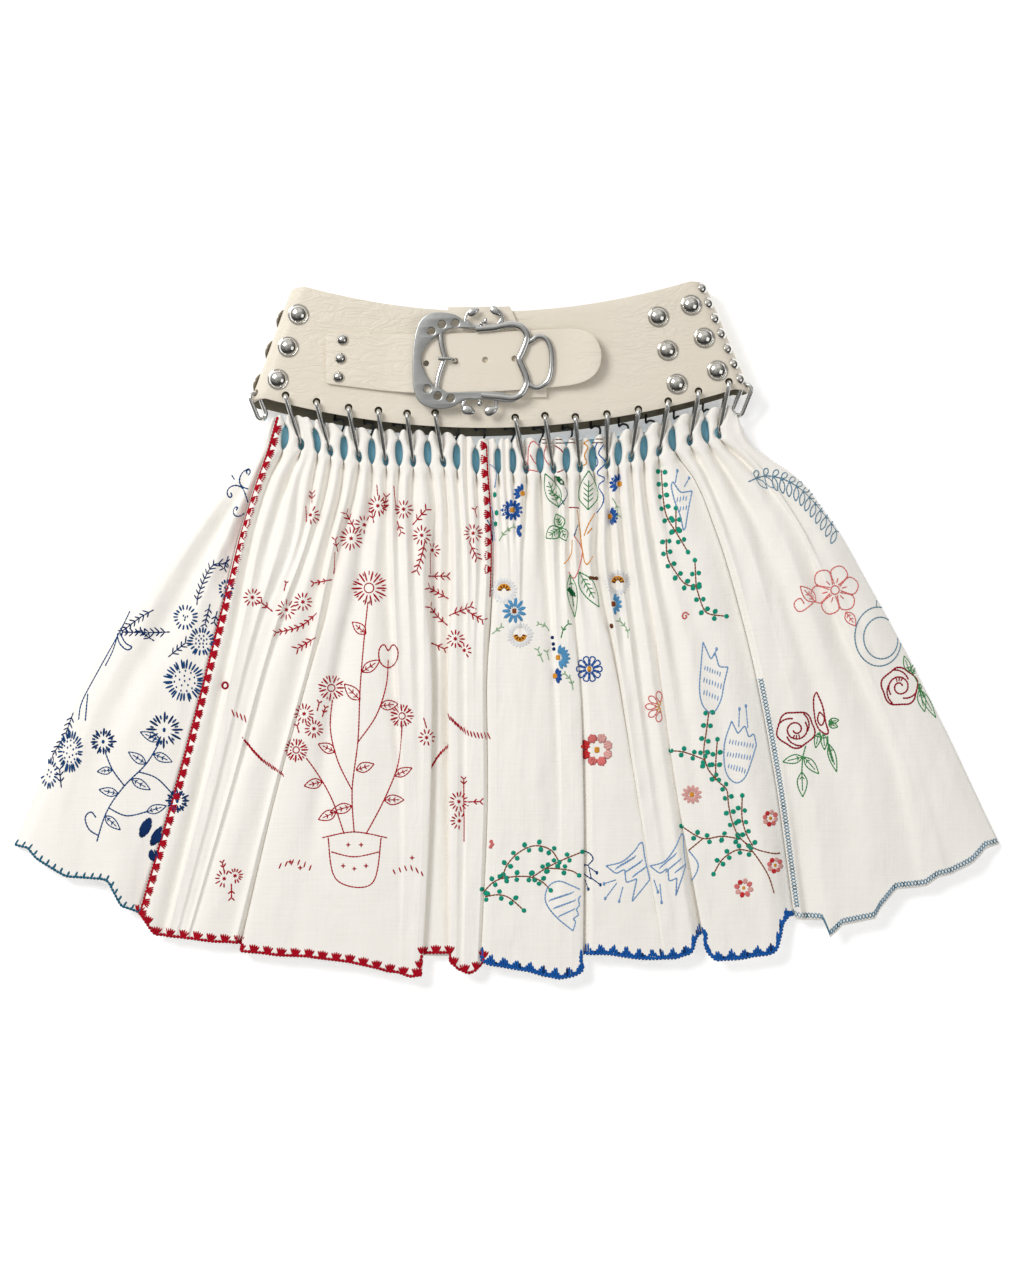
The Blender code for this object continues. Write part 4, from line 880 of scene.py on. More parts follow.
# Strap, tab and buckle: a tapered leather strap riveted to the belt, passed under a cast
# nickel buckle with a pierced side plate and scrolled frame, over a short leather tab.
STRAP_LEFT_Z = BELT_DEPTH + SEAM_GAP
STRAP_Z = STRAP_LEFT_Z + LEATHER + SEAM_GAP
BUCKLE_Z = STRAP_Z + LEATHER + SEAM_GAP
STRAP_HOLE, PLATE_HOLE, CASTING, STRAP_TIP_LIFT = 5.0, 6.5, 3.5, 3.5
STRAP_BENDS = (-112, -95, -78, -58, 42, 52, 62, 79)
STRAP = ((-151, 255), (-154.5, 254), (-155, 250), (-155, 216), (-154.5, 212), (-151, 211), (-81, 202.5), (-23, 203.5), (34, 207.5), (66, 211), (80, 223),
         (81, 243), (68, 259), (26.5, 257), (-52, 253.5), (-108, 254))
STRAP_HOLES = ((-69.0, 228.5), (-44.0, 230.5), (-18.5, 231.5), (6.5, 232.5))
TAB = ((-50.5, 277), (-50.5, 198.5), (34, 200), (34, 207.5), (2.5, 277.5))
PLATE_HOLES = ((-64.5, 255.5), (-55.5, 261.5), (-44, 262.5), (-68, 206.5), (-59, 200.5), (-48, 198.5))
PLATE = (
    (-36.7, 264.1), (-41.3, 268.8), (-47.8, 271.1), (-57.0, 272.0), (-66.3, 271.1), (-72.7, 266.9), (-76.4, 260.4),
    (-79.2, 249.3), (-80.6, 235.5), (-80.9, 221.6), (-80.1, 207.7), (-77.4, 198.5), (-72.7, 192.9), (-64.4, 189.7),
    (-55.2, 188.8), (-46.9, 190.6), (-40.4, 194.3), (-33.9, 198.0), (-26.5, 197.1), (-15.4, 197.8), (-7.1, 195.7),
    (1.2, 194.5), (8.6, 196.2), (9.5, 199.5), (3.1, 201.0), (-2.5, 203.1), (-9.9, 204.0), (-26.5, 204.5), (-45.0, 203.6),
    (-51.5, 203.6), (-55.0, 206.5), (-60.7, 207.7), (-63.5, 210.5), (-70.0, 219.7), (-73.2, 229.9), (-72.7, 236.4),
    (-69.0, 243.8), (-60.7, 251.2), (-54.2, 254.0), (-50.5, 256.7), (-45.0, 258.6), (-35.8, 257.7), (-23.7, 255.8),
    (-14.5, 255.8), (-3.4, 257.7), (7.6, 258.4), (9.0, 260.4), (4.9, 263.6), (-4.3, 262.7), (-13.6, 259.2),
    (-18.2, 260.4), (-22.8, 260.4), (-27.4, 259.4), (-32.0, 263.2),
)
FRAME_LINE = ((-26.5, 257.6), (-11.7, 258.8), (-4.3, 260.4), (4.9, 261.4), (12.3, 259.2), (17.0, 253.0), (16.5, 246.6),
              (13.3, 238.2), (10.6, 231.8), (13.3, 224.4), (16.5, 216.0), (16.5, 209.6), (12.3, 202.2), (4.9, 198.6),
              (-5.2, 199.5), (-22.0, 201.0))
KEEPER_LINE = ((17.5, 246.0), (21.1, 247.9), (26.2, 251.2), (32.7, 249.8), (36.8, 242.9), (38.2, 233.6), (37.8, 222.5),
               (35.5, 214.2), (29.9, 209.1), (23.9, 207.7), (17.5, 211.4))
BAR_LINE = ((-56.6, 256.0), (-56.1, 246.6), (-54.7, 239.2), (-53.1, 233.1), (-55.0, 227.1), (-57.5, 219.7),
            (-59.3, 211.4), (-59.8, 205.0))
SCROLLS = (
    # line of the arm, its width, the leaf at its end: centre, length, width, turn
    (((-35.8, 264.0), (-34.6, 269.5), (-31.5, 273.3), (-28.5, 274.2)), 2.4, (-28.6, 272.4), 11.0, 6.6, 25),
    (((-34.0, 265.5), (-30.5, 260.8), (-25.5, 260.2), (-21.5, 263.0)), 2.2, (-21.8, 262.4), 4.2, 3.0, 60),
    (((-3.6, 262.6), (-4.2, 268.5), (-6.5, 273.2), (-9.5, 274.2)), 2.4, (-9.6, 272.6), 11.0, 6.6, -42),
    (((-4.6, 266.0), (-8.5, 261.8), (-13.5, 259.8), (-17.8, 263.0)), 2.2, (-18.4, 264.6), 6.0, 3.4, 80),
    (((-30.2, 201.0), (-35.8, 197.5), (-37.6, 191.0), (-34.6, 187.2)), 3.0, (-32.6, 188.0), 12.0, 8.0, -20),
    (((-18.2, 201.0), (-10.4, 197.5), (-8.9, 191.0), (-11.6, 187.2)), 3.0, (-13.4, 188.0), 12.0, 8.0, 20),
    (((-22.8, 199.5), (-23.2, 194.0)), 3.0, (-23.3, 194.0), 5.0, 4.0, 90),
)
FLATNESS = 0.62
PRONG_Z = BUCKLE_Z + CASTING + SEAM_GAP + 1.5
PRONG = ((-58.5, 232, PRONG_Z), (-49.5, 232, PRONG_Z), (-46.4, 231.3, PRONG_Z - 1.0),
         (-44.6, 230.7, PRONG_Z - 3.2), (-44, 230.5, STRAP_Z + LEATHER - 1.0))


def rounded(points, rounds=2):
    for _ in range(rounds):
        cut_points = []
        for i, (x, y) in enumerate(points):
            nx, ny = points[(i + 1) % len(points)]
            cut_points += [(lerp(x, nx, 0.25), lerp(y, ny, 0.25)), (lerp(x, nx, 0.75), lerp(y, ny, 0.75))]
        points = cut_points
    return points


def round_hole(x, y, width, sides=28):
    return [(x + width / 2 * math.cos(2 * math.pi * i / sides), y + width / 2 * math.sin(2 * math.pi * i / sides))
            for i in range(sides)]


def flat_plate(name, outlines, thickness, z, edge, segments):
    """Plate cut to outlines (its edge, then its openings), with softened edges."""
    curve = bpy.data.curves.new(name, "CURVE")
    curve.dimensions = "2D"
    curve.fill_mode = "BOTH"
    curve.extrude = (thickness / 2 - edge) * MM
    curve.bevel_depth = edge * MM
    curve.bevel_resolution = segments
    curve.offset = -edge * MM
    for outline in outlines:
        spline = curve.splines.new("POLY")
        spline.points.add(len(outline) - 1)
        for node, (x, y) in zip(spline.points, outline):
            node.co = (x * MM, y * MM, 0.0, 1.0)
        spline.use_cyclic_u = True
    raw = bpy.data.objects.new(name + "_line", curve)
    bpy.context.scene.collection.objects.link(raw)
    bpy.context.view_layer.update()
    mesh = bpy.data.meshes.new_from_object(raw.evaluated_get(bpy.context.evaluated_depsgraph_get()))
    bpy.data.objects.remove(raw)
    for vertex in mesh.vertices:
        vertex.co.z += (z + thickness / 2) * MM
    bm = bmesh.new()
    bm.from_mesh(mesh)
    bmesh.ops.remove_doubles(bm, verts=bm.verts, dist=0.00001)
    bm.to_mesh(mesh)
    bm.free()
    mesh.shade_smooth()
    mesh.set_sharp_from_angle(angle=math.radians(50))
    return mesh


def place_mesh(name, mesh, material, node):
    obj = bpy.data.objects.new(name, mesh)
    bpy.context.scene.collection.objects.link(obj)
    obj.data.materials.clear()
    obj.data.materials.append(material)
    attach(obj, "root")
    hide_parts(node)
    return obj


strap_mesh = flat_plate("strap leather", [rounded(STRAP)] + [round_hole(x, y, STRAP_HOLE) for x, y in STRAP_HOLES],
                        LEATHER, STRAP_LEFT_Z, 0.5, 2)
bm = bmesh.new()
bm.from_mesh(strap_mesh)
for x in np.arange(-112, 80, 6.0):
    bmesh.ops.bisect_plane(bm, geom=[*bm.verts, *bm.edges, *bm.faces], dist=0.00001,
                           plane_co=(x * MM, 0, 0), plane_no=(1, 0, 0))
for vertex in bm.verts:
    x = vertex.co.x / MM
    climb = (STRAP_Z - STRAP_LEFT_Z) * fade(STRAP_BENDS[0], STRAP_BENDS[3], x)
    vertex.co.z += (climb + STRAP_TIP_LIFT * fade(STRAP_BENDS[4], STRAP_BENDS[-1], x)) * MM
bm.to_mesh(strap_mesh)
bm.free()
place_mesh("strap_leather", strap_mesh, CREAM, "strap")
place_mesh("tab_leather", flat_plate("tab leather", [TAB], LEATHER, BELT_DEPTH + SEAM_GAP, 0.4, 2), CREAM,
           "buckle_tab")
CAST = make_metal("cast nickel", (0.66, 0.66, 0.65), 0.2, 0.2)
SATIN = make_metal("satin plate", (0.50, 0.51, 0.50), 0.34, 0.14)
holes = [round_hole(x, y, PLATE_HOLE) for x, y in PLATE_HOLES]
casting = flat_plate("buckle plate", [rounded(PLATE, 2)] + holes, CASTING, BUCKLE_Z, 0.9, 4)
buckle = place_mesh("buckle_casting", casting, SATIN, "buckle")
buckle.data.materials.append(CAST)
middle_z = BUCKLE_Z + CASTING / 2
castings = []
for number, (line, width) in enumerate(((FRAME_LINE, 6.2), (KEEPER_LINE, 4.6), (BAR_LINE, 4.8),
                                        *((scroll[0], scroll[1]) for scroll in SCROLLS))):
    path = smooth_loop([(x, y, middle_z + 0.5) for x, y in line], cyclic=False)
    castings.append(tube(f"casting_{number}", path, width, CAST, resolution=6))
for number, (_, _, (x, y), length, width, turn) in enumerate(SCROLLS):
    ball = bmesh.new()
    bmesh.ops.create_uvsphere(ball, u_segments=20, v_segments=12, radius=MM)
    for vertex in ball.verts:
        # A drop narrows towards one end
        taper = 1 - 0.35 * (vertex.co.x / MM)
        vertex.co = Vector((vertex.co.x * length / 2, vertex.co.y * width / 2 * taper, vertex.co.z * 2.6))
    mesh = bpy.data.meshes.new(f"drop_{number}")
    ball.to_mesh(mesh)
    ball.free()
    mesh.shade_smooth()
    drop = bpy.data.objects.new(f"drop_{number}", mesh)
    bpy.context.scene.collection.objects.link(drop)
    drop.rotation_euler.z = math.radians(turn)
    drop.location = (x * MM, y * MM, (middle_z + 0.5) * MM)
    drop.data.materials.append(CAST)
    castings.append(drop)
bpy.context.view_layer.update()
frame_mesh = bmesh.new()
for piece in castings:
    part = piece.data.copy()
    part.transform(piece.matrix_world)
    frame_mesh.from_mesh(part)
    bpy.data.objects.remove(piece)
for vertex in frame_mesh.verts:
    vertex.co.z = middle_z * MM + (vertex.co.z - middle_z * MM) * FLATNESS
joined = bpy.data.meshes.new("buckle frame")
frame_mesh.to_mesh(joined)
frame_mesh.free()
joined.shade_smooth()
place_mesh("buckle_frame", joined, CAST, "buckle")
prong = tube("prong", smooth_loop(PRONG, cyclic=False), 3.0, CAST)
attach(prong, "root")
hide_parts("buckle_prong")

# Embroidery and edgings: cotton threads worked by hand in stem, straight, satin, palm, blanket
# and herringbone stitches. Each stitch is a small spindle of thread laid on the cloth; motif
# places are read off the photograph in its pixels, sizes are millimetres.
PHOTO_MIDDLE, PHOTO_SCALE, PHOTO_SHIFT = (512, 640), 0.859, (4.3, -7.6)
THREADS = {
    "navy": "#1E4F86", "ink": "#16386C", "edge teal": "#2A6C88", "red": "#BC0A26", "hem blue": "#1F62B4",
    "leaf": "#1CA284", "stem": "#94502A", "sky": "#86AEDB", "corn": "#2F62B0", "azure": "#62A6D6",
    "coral": "#EE7F7C", "blush": "#F2B4AC", "scarlet": "#DC3A3C", "orange": "#F0A238", "brown": "#6E3C1E",
    "green": "#4B9A5A", "pale green": "#A2C79D", "rose": "#A5122C", "dusty": "#7299B0", "white": "#FFFFFF",
    "dark green": "#1C6A3E",
}
FLOSS, BARB_SPREAD, BARB_REACH = 1.5, 1.45, 1.3
SPINDLE = ((0.0, 0.35), (0.2, 0.9), (0.5, 1.0), (0.8, 0.9), (1.0, 0.35))


def spot(u, v):
    """Plan place of a point read off the photograph."""
    return Vector(((u - PHOTO_MIDDLE[0]) * PHOTO_SCALE + PHOTO_SHIFT[0],
                   (PHOTO_MIDDLE[1] - v) * PHOTO_SCALE + PHOTO_SHIFT[1]))


def spots(points):
    return [spot(u, v) for u, v in points]


def polar(radius, degrees):
    return Vector((radius * math.cos(math.radians(degrees)), radius * math.sin(math.radians(degrees))))


def drape(point):
    """The panel, height and normal of the cloth under a plan point."""
    found = None
    for name, tree in trees.items():
        hit, normal, _, _ = tree.ray_cast(Vector((point.x, point.y, 90)), Vector((0, 0, -1)))
        if hit is not None and (found is None or hit.z > found[1]):
            found = (name, hit.z, normal if normal.z > 0 else -normal)
    return found


def stitch(a, b, colour, width=1.0, rise=0.45):
    """One stitch between plan points, plump in its middle and sunk at both ends."""
    along, width = b - a, width * FLOSS
    middle = drape((a + b) / 2)
    if along.length < 0.3 or middle is None:
        return
    sewn = work[middle[0]]
    side = Vector((-along.y, along.x, 0)).normalized()
    first = len(sewn["points"])
    for t, share in SPINDLE:
        plan = a + along * t
        under = drape(plan)
        if under is None or under[0] != middle[0] or abs(under[1] - middle[1]) > 5:
            under = middle
        centre, normal = Vector((plan.x, plan.y, under[1])), under[2]
        across = (side - normal * side.dot(normal)).normalized() * (width / 2 * share)
        sewn["points"] += [centre - across, centre + normal * rise * share, centre + across, centre - normal * 0.15]
    for ring in range(len(SPINDLE) - 1):
        for i in range(4):
            p, q = first + ring * 4 + i, first + ring * 4 + (i + 1) % 4
            sewn["faces"].append((p, q, q + 4, p + 4))
            sewn["colours"].append(colour)
    last = first + (len(SPINDLE) - 1) * 4
    sewn["faces"] += [(first, first + 3, first + 2, first + 1), (last, last + 1, last + 2, last + 3)]
    sewn["colours"] += [colour, colour]


def walk(path, step):
    """Points at even steps along a path, with the heading at each."""
    lengths = np.cumsum([0] + [(b - a).length for a, b in zip(path, path[1:])])
    count = max(1, round(lengths[-1] / step))
    found = []
    for i in range(count + 1):
        at = lengths[-1] * i / count
        k = min(int(np.searchsorted(lengths, at, side="right")) - 1, len(path) - 2)
        t = (at - lengths[k]) / max(lengths[k + 1] - lengths[k], 1e-6)
        found.append((path[k].lerp(path[k + 1], t), (path[k + 1] - path[k]).normalized()))
    return found


def stem_line(path, colour, width=0.95, step=3.0):
    places = [point for point, _ in walk(path, step)]
    for a, b in zip(places, places[1:]):
        stitch(a - (b - a) * 0.08, b + (b - a) * 0.08, colour, width)


def drawn(points, colour, width=0.95, closed=False, step=3.0):
    path = smooth_loop(spots(points), cyclic=closed)
    stem_line(path + path[:1] if closed else path, colour, width, step)


def straight(points, colour, width=0.95):
    stem_line(spots(points), colour, width)


def knot(place, colour, size=1.5):
    stitch(place - Vector((size / 2, 0)), place + Vector((size / 2, 0)), colour, size, 0.6)


def satin(base, tip, width, colour, strands=4):
    """Closely laid stitches that fill a small leaf or petal."""
    along = tip - base
    side = Vector((-along.y, along.x)).normalized()
    for i in range(strands):
        off = (i + 0.5) / strands * 2 - 1
        trim = 0.5 * (1 - math.sqrt(max(1 - off * off, 0)))
        shift = side * off * width / 2
        stitch(base + along * trim + shift, tip - along * trim + shift, colour, width / strands * 1.35, 0.5)


def sprig(points, colour, barb=4.0, step=3.2, width=0.9):
    path = smooth_loop(spots(points), cyclic=False)
    stem_line(path, colour, width)
    for place, heading in walk(path, step * BARB_SPREAD)[1:]:
        for turn in (-1, 1):
            out = Vector((heading.x - turn * heading.y, heading.y + turn * heading.x)) * 0.7071
            stitch(place, place + out * barb * BARB_REACH * draw.uniform(0.8, 1.15), colour, width)


def dash_star(u, v, radius, rays, colour, start=0, share=(0.45, 1.0), squash=1.0, arc=360, width=0.95):
    """Straight stitches set round a centre, as a seeded flower."""
    middle = spot(u, v)
    count = max(2, round(rays * arc / 360))
    for i in range(count):
        angle = start + arc * i / count + draw.uniform(-4, 4)
        near, far = polar(radius * share[0], angle), polar(radius * share[1] * draw.uniform(0.92, 1.06), angle)
        near.x, far.x = near.x * squash, far.x * squash
        stitch(middle + near, middle + far, colour, width)


def daisy(u, v, radius, petals, colour, centre, start=0, arc=360, width=2.6, inner=0.24, squash=1.0, hub=1.9):
    middle = spot(u, v)
    for i in range(round(petals * arc / 360)):
        angle = start + (arc * i + arc / 2) / round(petals * arc / 360)
        near, far = polar(radius * inner, angle), polar(radius * draw.uniform(0.94, 1.04), angle)
        near.x, far.x = near.x * squash, far.x * squash
        shade = colour[i % len(colour)] if isinstance(colour, tuple) else colour
        satin(middle + near, middle + far, width, shade, 3)
    for i in range(3 if centre else 0):
        lift = Vector((0, (i - 1) * hub * 0.6))
        stitch(middle - Vector((hub, 0)) + lift, middle + Vector((hub, 0)) + lift, centre, hub * 0.8, 0.7)


def leaf_outline(base, tip, width, colour, veins=3):
    a, b = spot(*base), spot(*tip)
    along = b - a
    side = Vector((-along.y, along.x)).normalized() * width / 2
    left = smooth_loop([a, a + along * 0.3 + side, a + along * 0.65 + side * 0.85, b], cyclic=False)
    right = smooth_loop([a, a + along * 0.3 - side, a + along * 0.65 - side * 0.85, b], cyclic=False)
    stem_line(left, colour, 0.8, 2.6)
    stem_line(right, colour, 0.8, 2.6)
    if veins:
        stem_line([a, a + along * 0.75], colour, 0.7, 2.6)
    for i in range(veins):
        root = a + along * (0.2 + 0.5 * i / max(veins, 1))
        for turn in (-1, 1):
            stitch(root, root + along.normalized() * width * 0.25 + side * turn * 0.55, colour, 0.7)


def vine(points, step=5.6, leaf=4.6, stems="stem", leaves="leaf"):
    path = smooth_loop(spots(points), cyclic=False)
    stem_line(path, stems, 0.9)
    for number, (place, heading) in enumerate(walk(path, step * 2)[:-1]):
        for turn in (-1, 1):
            out = Vector((heading.x * 0.45 - turn * heading.y, heading.y * 0.45 + turn * heading.x)).normalized()
            base = place + out * 0.9 + heading * draw.uniform(-1.2, 1.2)
            satin(base, base + out * leaf * draw.uniform(0.85, 1.15), 3.4, leaves)
    satin(path[-1], path[-1] + walk(path, step)[-1][1] * leaf, 3.2, leaves)


def palm(place, out, size, colour, prongs=5):
    """A fan of straight stitches from one hole, thick at its base."""
    spread = Vector((-out.y, out.x))
    for i in range(prongs):
        lean = (i / (prongs - 1) - 0.5) * 1.25
        tip = place + (out * (1 - 0.25 * abs(lean)) + spread * lean) * size
        stitch(place + spread * lean * size * 0.25, tip * 0.95 + place * 0.05, colour, 1.25)


def rose(u, v, radius, colour, turn=0, squash=1.0):
    middle = spot(u, v)

    def at(share, degrees):
        place = polar(radius * share, degrees + turn)
        return middle + Vector((place.x * squash, place.y))

    outer = [at(1 + 0.07 * math.cos(math.radians(5 * a)), a) for a in range(0, 360, 20)]
    stem_line(smooth_loop(outer, 3) + smooth_loop(outer, 3)[:1], colour, 1.15, 2.6)
    stem_line([at(0.16 + 0.50 * a / 560, a) for a in range(0, 561, 28)], colour, 1.1, 2.4)
    for a, sweep in ((20, 70), (150, 75), (265, 60)):
        stem_line([at(0.62 + 0.36 * t, a + sweep * t) for t in (0, 0.25, 0.5, 0.75, 1)], colour, 1.1, 2.4)
    for a in (60, 80, 100):
        stitch(at(0.30, a), at(0.52, a - 8), colour, 0.9)


def tulip(outline, crown, stamens, hatches, colour, hatch_lean):
    """An outlined bell with a jagged rim, dots on its stamens and rows of hatching."""
    drawn(outline, colour, 0.9)
    straight(crown, colour, 0.9)
    for root, end in stamens:
        straight((root, end), colour, 0.8)
        knot(spot(*end), colour, 2.2)
    lean = polar(5.0, hatch_lean)
    for start, end in hatches:
        for place, _ in walk(spots((start, end)), 2.4):
            stitch(place - lean * draw.uniform(0.35, 0.55), place + lean * draw.uniform(0.35, 0.55), colour, 0.7)


def ticks(points, colour, length, lean, step=2.6, width=0.9):
    for place, _ in walk(smooth_loop(spots(points), cyclic=False), step):
        reach = polar(length * draw.uniform(0.85, 1.1) / 2, lean + draw.uniform(-6, 6))
        stitch(place - reach, place + reach, colour, width)


def hem_path(first, last):
    """Plan points along the hem between two columns, and the way up the cloth at each."""
    edge = [Vector((front_x[c, -1], front_y[c, -1])) for c in range(first, last + 1)]
    inner = [Vector((front_x[c, -4], front_y[c, -4])) for c in range(first, last + 1)]
    return edge, inner


def along_hem(panel, step):
    first, last = panel_columns[panel]
    edge, inner = hem_path(first, last)
    ups = [(b - a).normalized() for a, b in zip(edge, inner)]
    for place, _ in walk([a + up * 0.9 for a, up in zip(edge, ups)], step):
        nearest = min(range(len(edge)), key=lambda i: (edge[i] - place).length)
        yield place, ups[nearest]


def seam_path(seam, offset, low, high):
    column = 4 * STEPS * FOLD_NAMES.index(seam)
    rows = [j for j, level in enumerate(LEVELS) if low <= level <= high]
    return [Vector((front_x[column, j] + offset, front_y[column, j])) for j in rows]


draw = random.Random(11)
work = {name: {"points": [], "faces": [], "colours": []} for name in panels}
panel_columns = {name: (limits[i], limits[i + 1]) for i, name in enumerate(panels)}
trees = {}
for name, panel in panels.items():
    trees[name] = BVHTree.FromPolygons([v.co / MM for v in panel.data.vertices],
                                       [tuple(p.vertices) for p in panel.data.polygons])

# Edgings: blanket stitch in teal on the left, red palms down both edges and along the hem of
# the red panel, blue combs on the next hem, and a herringbone band round the right panel.
for place, up in along_hem("panel_left", 7.0):
    stitch(place, place + up * 4.6 + Vector((1.6, 0)), "edge teal", 1.3)
for name, colour, width in (("panel_left", "edge teal", 1.6), ("panel_red", "red", 2.0), ("panel_blue", "hem blue", 2.4)):
    places = [place for place, _ in along_hem(name, 3.0)]
    for a, b in zip(places, places[1:]):
        stitch(a, b, colour, width, 0.7)
for place, up in along_hem("panel_red", 11.8):
    palm(place, up, 7.2, "red")
for number, (place, up) in enumerate(along_hem("panel_blue", 1.9)):
    height = (2.6, 4.6, 7.6, 8.4, 5.4, 3.0)[number % 6] * draw.uniform(0.85, 1.1)
    stitch(place, place + up * height, "hem blue" if number % 11 else "ink", 1.5)
border = seam_path("seam_left", 1.6, 0.0, 1.0)
stem_line(border, "red", 2.0)
for place, heading in walk(border, 10.6)[1:]:
    palm(place, Vector((-heading.y, heading.x)), 6.6, "red")
strip = seam_path("seam_middle", -1.6, 0.01, 0.31)
stem_line(strip, "red", 1.7)
for place, heading in walk(strip, 11.6)[:-2]:
    palm(place, Vector((heading.y, -heading.x)), 6.4, "red")


def herringbone(places, ways, width, colour):
    for number, (place, way) in enumerate(zip(places, ways)):
        across = way * width
        if number + 1 < len(places):
            step = places[number + 1] - place
            shade = colour if draw.random() < 0.6 else "edge teal" if draw.random() < 0.3 else "dusty"
            stitch(place + across * 0.1, place + across + step * 0.9, shade, 0.75)
            stitch(place + across, place + across * 0.1 + step * 0.9, shade, 0.75)


spaced = list(along_hem("panel_right", 2.9))
herringbone([p for p, _ in spaced], [w for _, w in spaced], 5.4, "dusty")
side = walk(seam_path("seam_right", 1.0, 0.52, 0.985), 2.9)
herringbone([p for p, _ in side], [Vector((-h.y, h.x)) for _, h in side], 4.8, "dusty")

# Left panel: navy scrolls, fir sprigs and seeded flowers, and a spray of open flowers and
# leaves.
for points in (
    ((247, 474), (245.6, 471.6), (249, 469), (250.6, 472), (248, 475.2)),
    ((249, 468.6), (242.7, 471.8), (239.3, 479.3), (241.3, 486.2), (248.6, 489.2)),
    ((230.5, 492.5), (232, 496.5), (229, 497.5), (226.8, 493), (228.5, 488), (234.8, 485.2), (242.7, 488.2),
     (247, 499), (248, 506)),
    ((236.4, 510.5), (238.3, 507), (234.8, 507.4), (233.2, 512), (235.8, 516.3), (240.7, 515.9), (244, 513)),
    ((230.2, 474.4), (234.2, 479.3)),
    ((128, 611), (118, 632), (95.7, 672), (80, 702), (77, 720)), ((116.4, 633), (111.6, 650), (103.7, 666)),
    ((118, 632), (124.4, 643), (131.4, 647), (126, 650), (118, 643), (115.5, 633.7)), ((86, 694), (84, 721)),
):
    drawn(points, "navy")
for points, barb in (
    (((197, 605), (198, 596), (203, 582), (209, 570.3), (215, 564.3), (224, 564)), 4.2),
    (((153, 609.8), (137, 619), (121, 631)), 4.2), (((169, 632), (145, 632.5), (122, 632)), 4.2),
    (((153, 641), (146, 636), (140, 631)), 3.6), (((210, 604), (205, 624)), 3.4), (((217, 611), (214, 622)), 3.2),
    (((168, 657), (185.4, 643)), 4.4), (((228, 556), (224, 568)), 3.4), (((71, 713), (64, 733)), 4.0),
    (((60, 788), (58, 770)), 3.4), (((62, 737), (50, 756)), 3.6),
):
    sprig(points, "ink", barb)
SEEDED = (
    # photo x, y, radius, rays, squash, rings of seeds inside as radius and count
    (185.0, 617.3, 11.2, 18, 1.0, ((0, 1), (2.2, 3))), (201.2, 641.4, 12.6, 22, 0.95, ((2.4, 5), (5.2, 8))),
    (184.5, 681.0, 18.0, 32, 1.0, ((0, 1), (4.5, 5), (8.8, 11))), (68.6, 751.7, 19.0, 28, 0.6, ((5, 6), (9.5, 11))),
    (47.0, 774.0, 13.5, 18, 0.6, ((3, 4),)), (226.0, 589.0, 8.6, 14, 0.8, ((2, 3),)),
)
for u, v, radius, rays, squash, seeds in SEEDED:
    dash_star(u, v, radius, rays, "navy", share=(0.58, 1.0), squash=squash, width=1.25)
    for ring_radius, count in seeds:
        for i in range(count):
            offset = polar(ring_radius, 360 * i / count + 20)
            knot(spot(u, v) + Vector((offset.x * squash, offset.y)), "navy", 1.4)
for points in (
    ((96, 842), (106, 812), (124, 786), (146, 764), (160, 741)), ((124, 786), (112, 770), (104, 752)),
    ((138, 772), (156, 778), (172, 794)), ((108, 808), (126, 816), (146, 812)),
    ((98, 836), (88, 830), (84, 818), (90, 812), (95, 818)),
):
    drawn(points, "navy")
for base, tip, width in (
    ((118, 794), (98, 790), 7), ((131, 779), (150, 790), 7), ((146, 764), (128, 752), 7), ((153, 754), (172, 762), 7),
    ((104, 816), (120, 830), 7), ((112, 770), (96, 772), 6), ((146, 812), (166, 806), 7), ((160, 741), (140, 732), 7),
):
    leaf_outline(base, tip, width, "navy", 2)
for u, v, radius in ((164, 730, 15.5), (102, 742, 11.5), (177, 801, 10.5)):
    dash_star(u, v, radius, 12, "ink", share=(0.4, 1.0), width=1.4)
    dash_star(u, v, radius * 0.95, 12, "navy", start=15, share=(0.62, 0.9), width=1.2)
    knot(spot(u, v), "navy", 2.6)
for base, tip in (((140, 838), (150, 818)), ((150, 846), (164, 826)), ((150, 850), (156, 862))):
    satin(spot(*base), spot(*tip), 8.0, "ink", 8)

# Red panel: seeded stars and fir sprigs in one red, and in its middle a plain pot of daisies,
# tulips and leaves.
STARS = (
    # photo x, y, radius, rays, first angle, arc
    (252.4, 597.4, 8.2, 12, 0, 360), (310.6, 515, 8.4, 12, -90, 180), (286.2, 609.8, 8.8, 12, 0, 360),
    (303.0, 601.9, 8.4, 12, 0, 360), (351.4, 538.6, 10.2, 15, 0, 360), (364.3, 524.8, 8.6, 12, 60, 240),
    (378.0, 506.0, 9.2, 13, 0, 360), (403.8, 509.5, 8.2, 12, 0, 360), (421.8, 535.4, 8.6, 12, 0, 360),
    (432.0, 550.0, 7.0, 10, -60, 200), (455.4, 638.8, 8.0, 12, 0, 360), (464.3, 650.4, 6.8, 10, -60, 230),
    (473.2, 533.4, 8.4, 13, 0, 360), (304.0, 713.8, 9.0, 14, 0, 360), (313.9, 728.7, 8.4, 14, 0, 360),
    (426.6, 737.6, 7.4, 10, 0, 360), (223.9, 878.9, 8.4, 12, 60, 240), (234.6, 876.0, 7.0, 14, -90, 260),
    (458.8, 801.7, 9.0, 14, 0, 360), (459.2, 821.0, 8.0, 12, 60, 240),
)
for u, v, radius, rays, start, arc in STARS:
    dash_star(u, v, radius, rays, "red", start, arc=arc)
    knot(spot(u, v), "red", 1.7)
    for angle in (20, 80, 140):
        stitch(spot(u, v) - polar(1.9, angle), spot(u, v) + polar(1.9, angle), "red", 0.8)
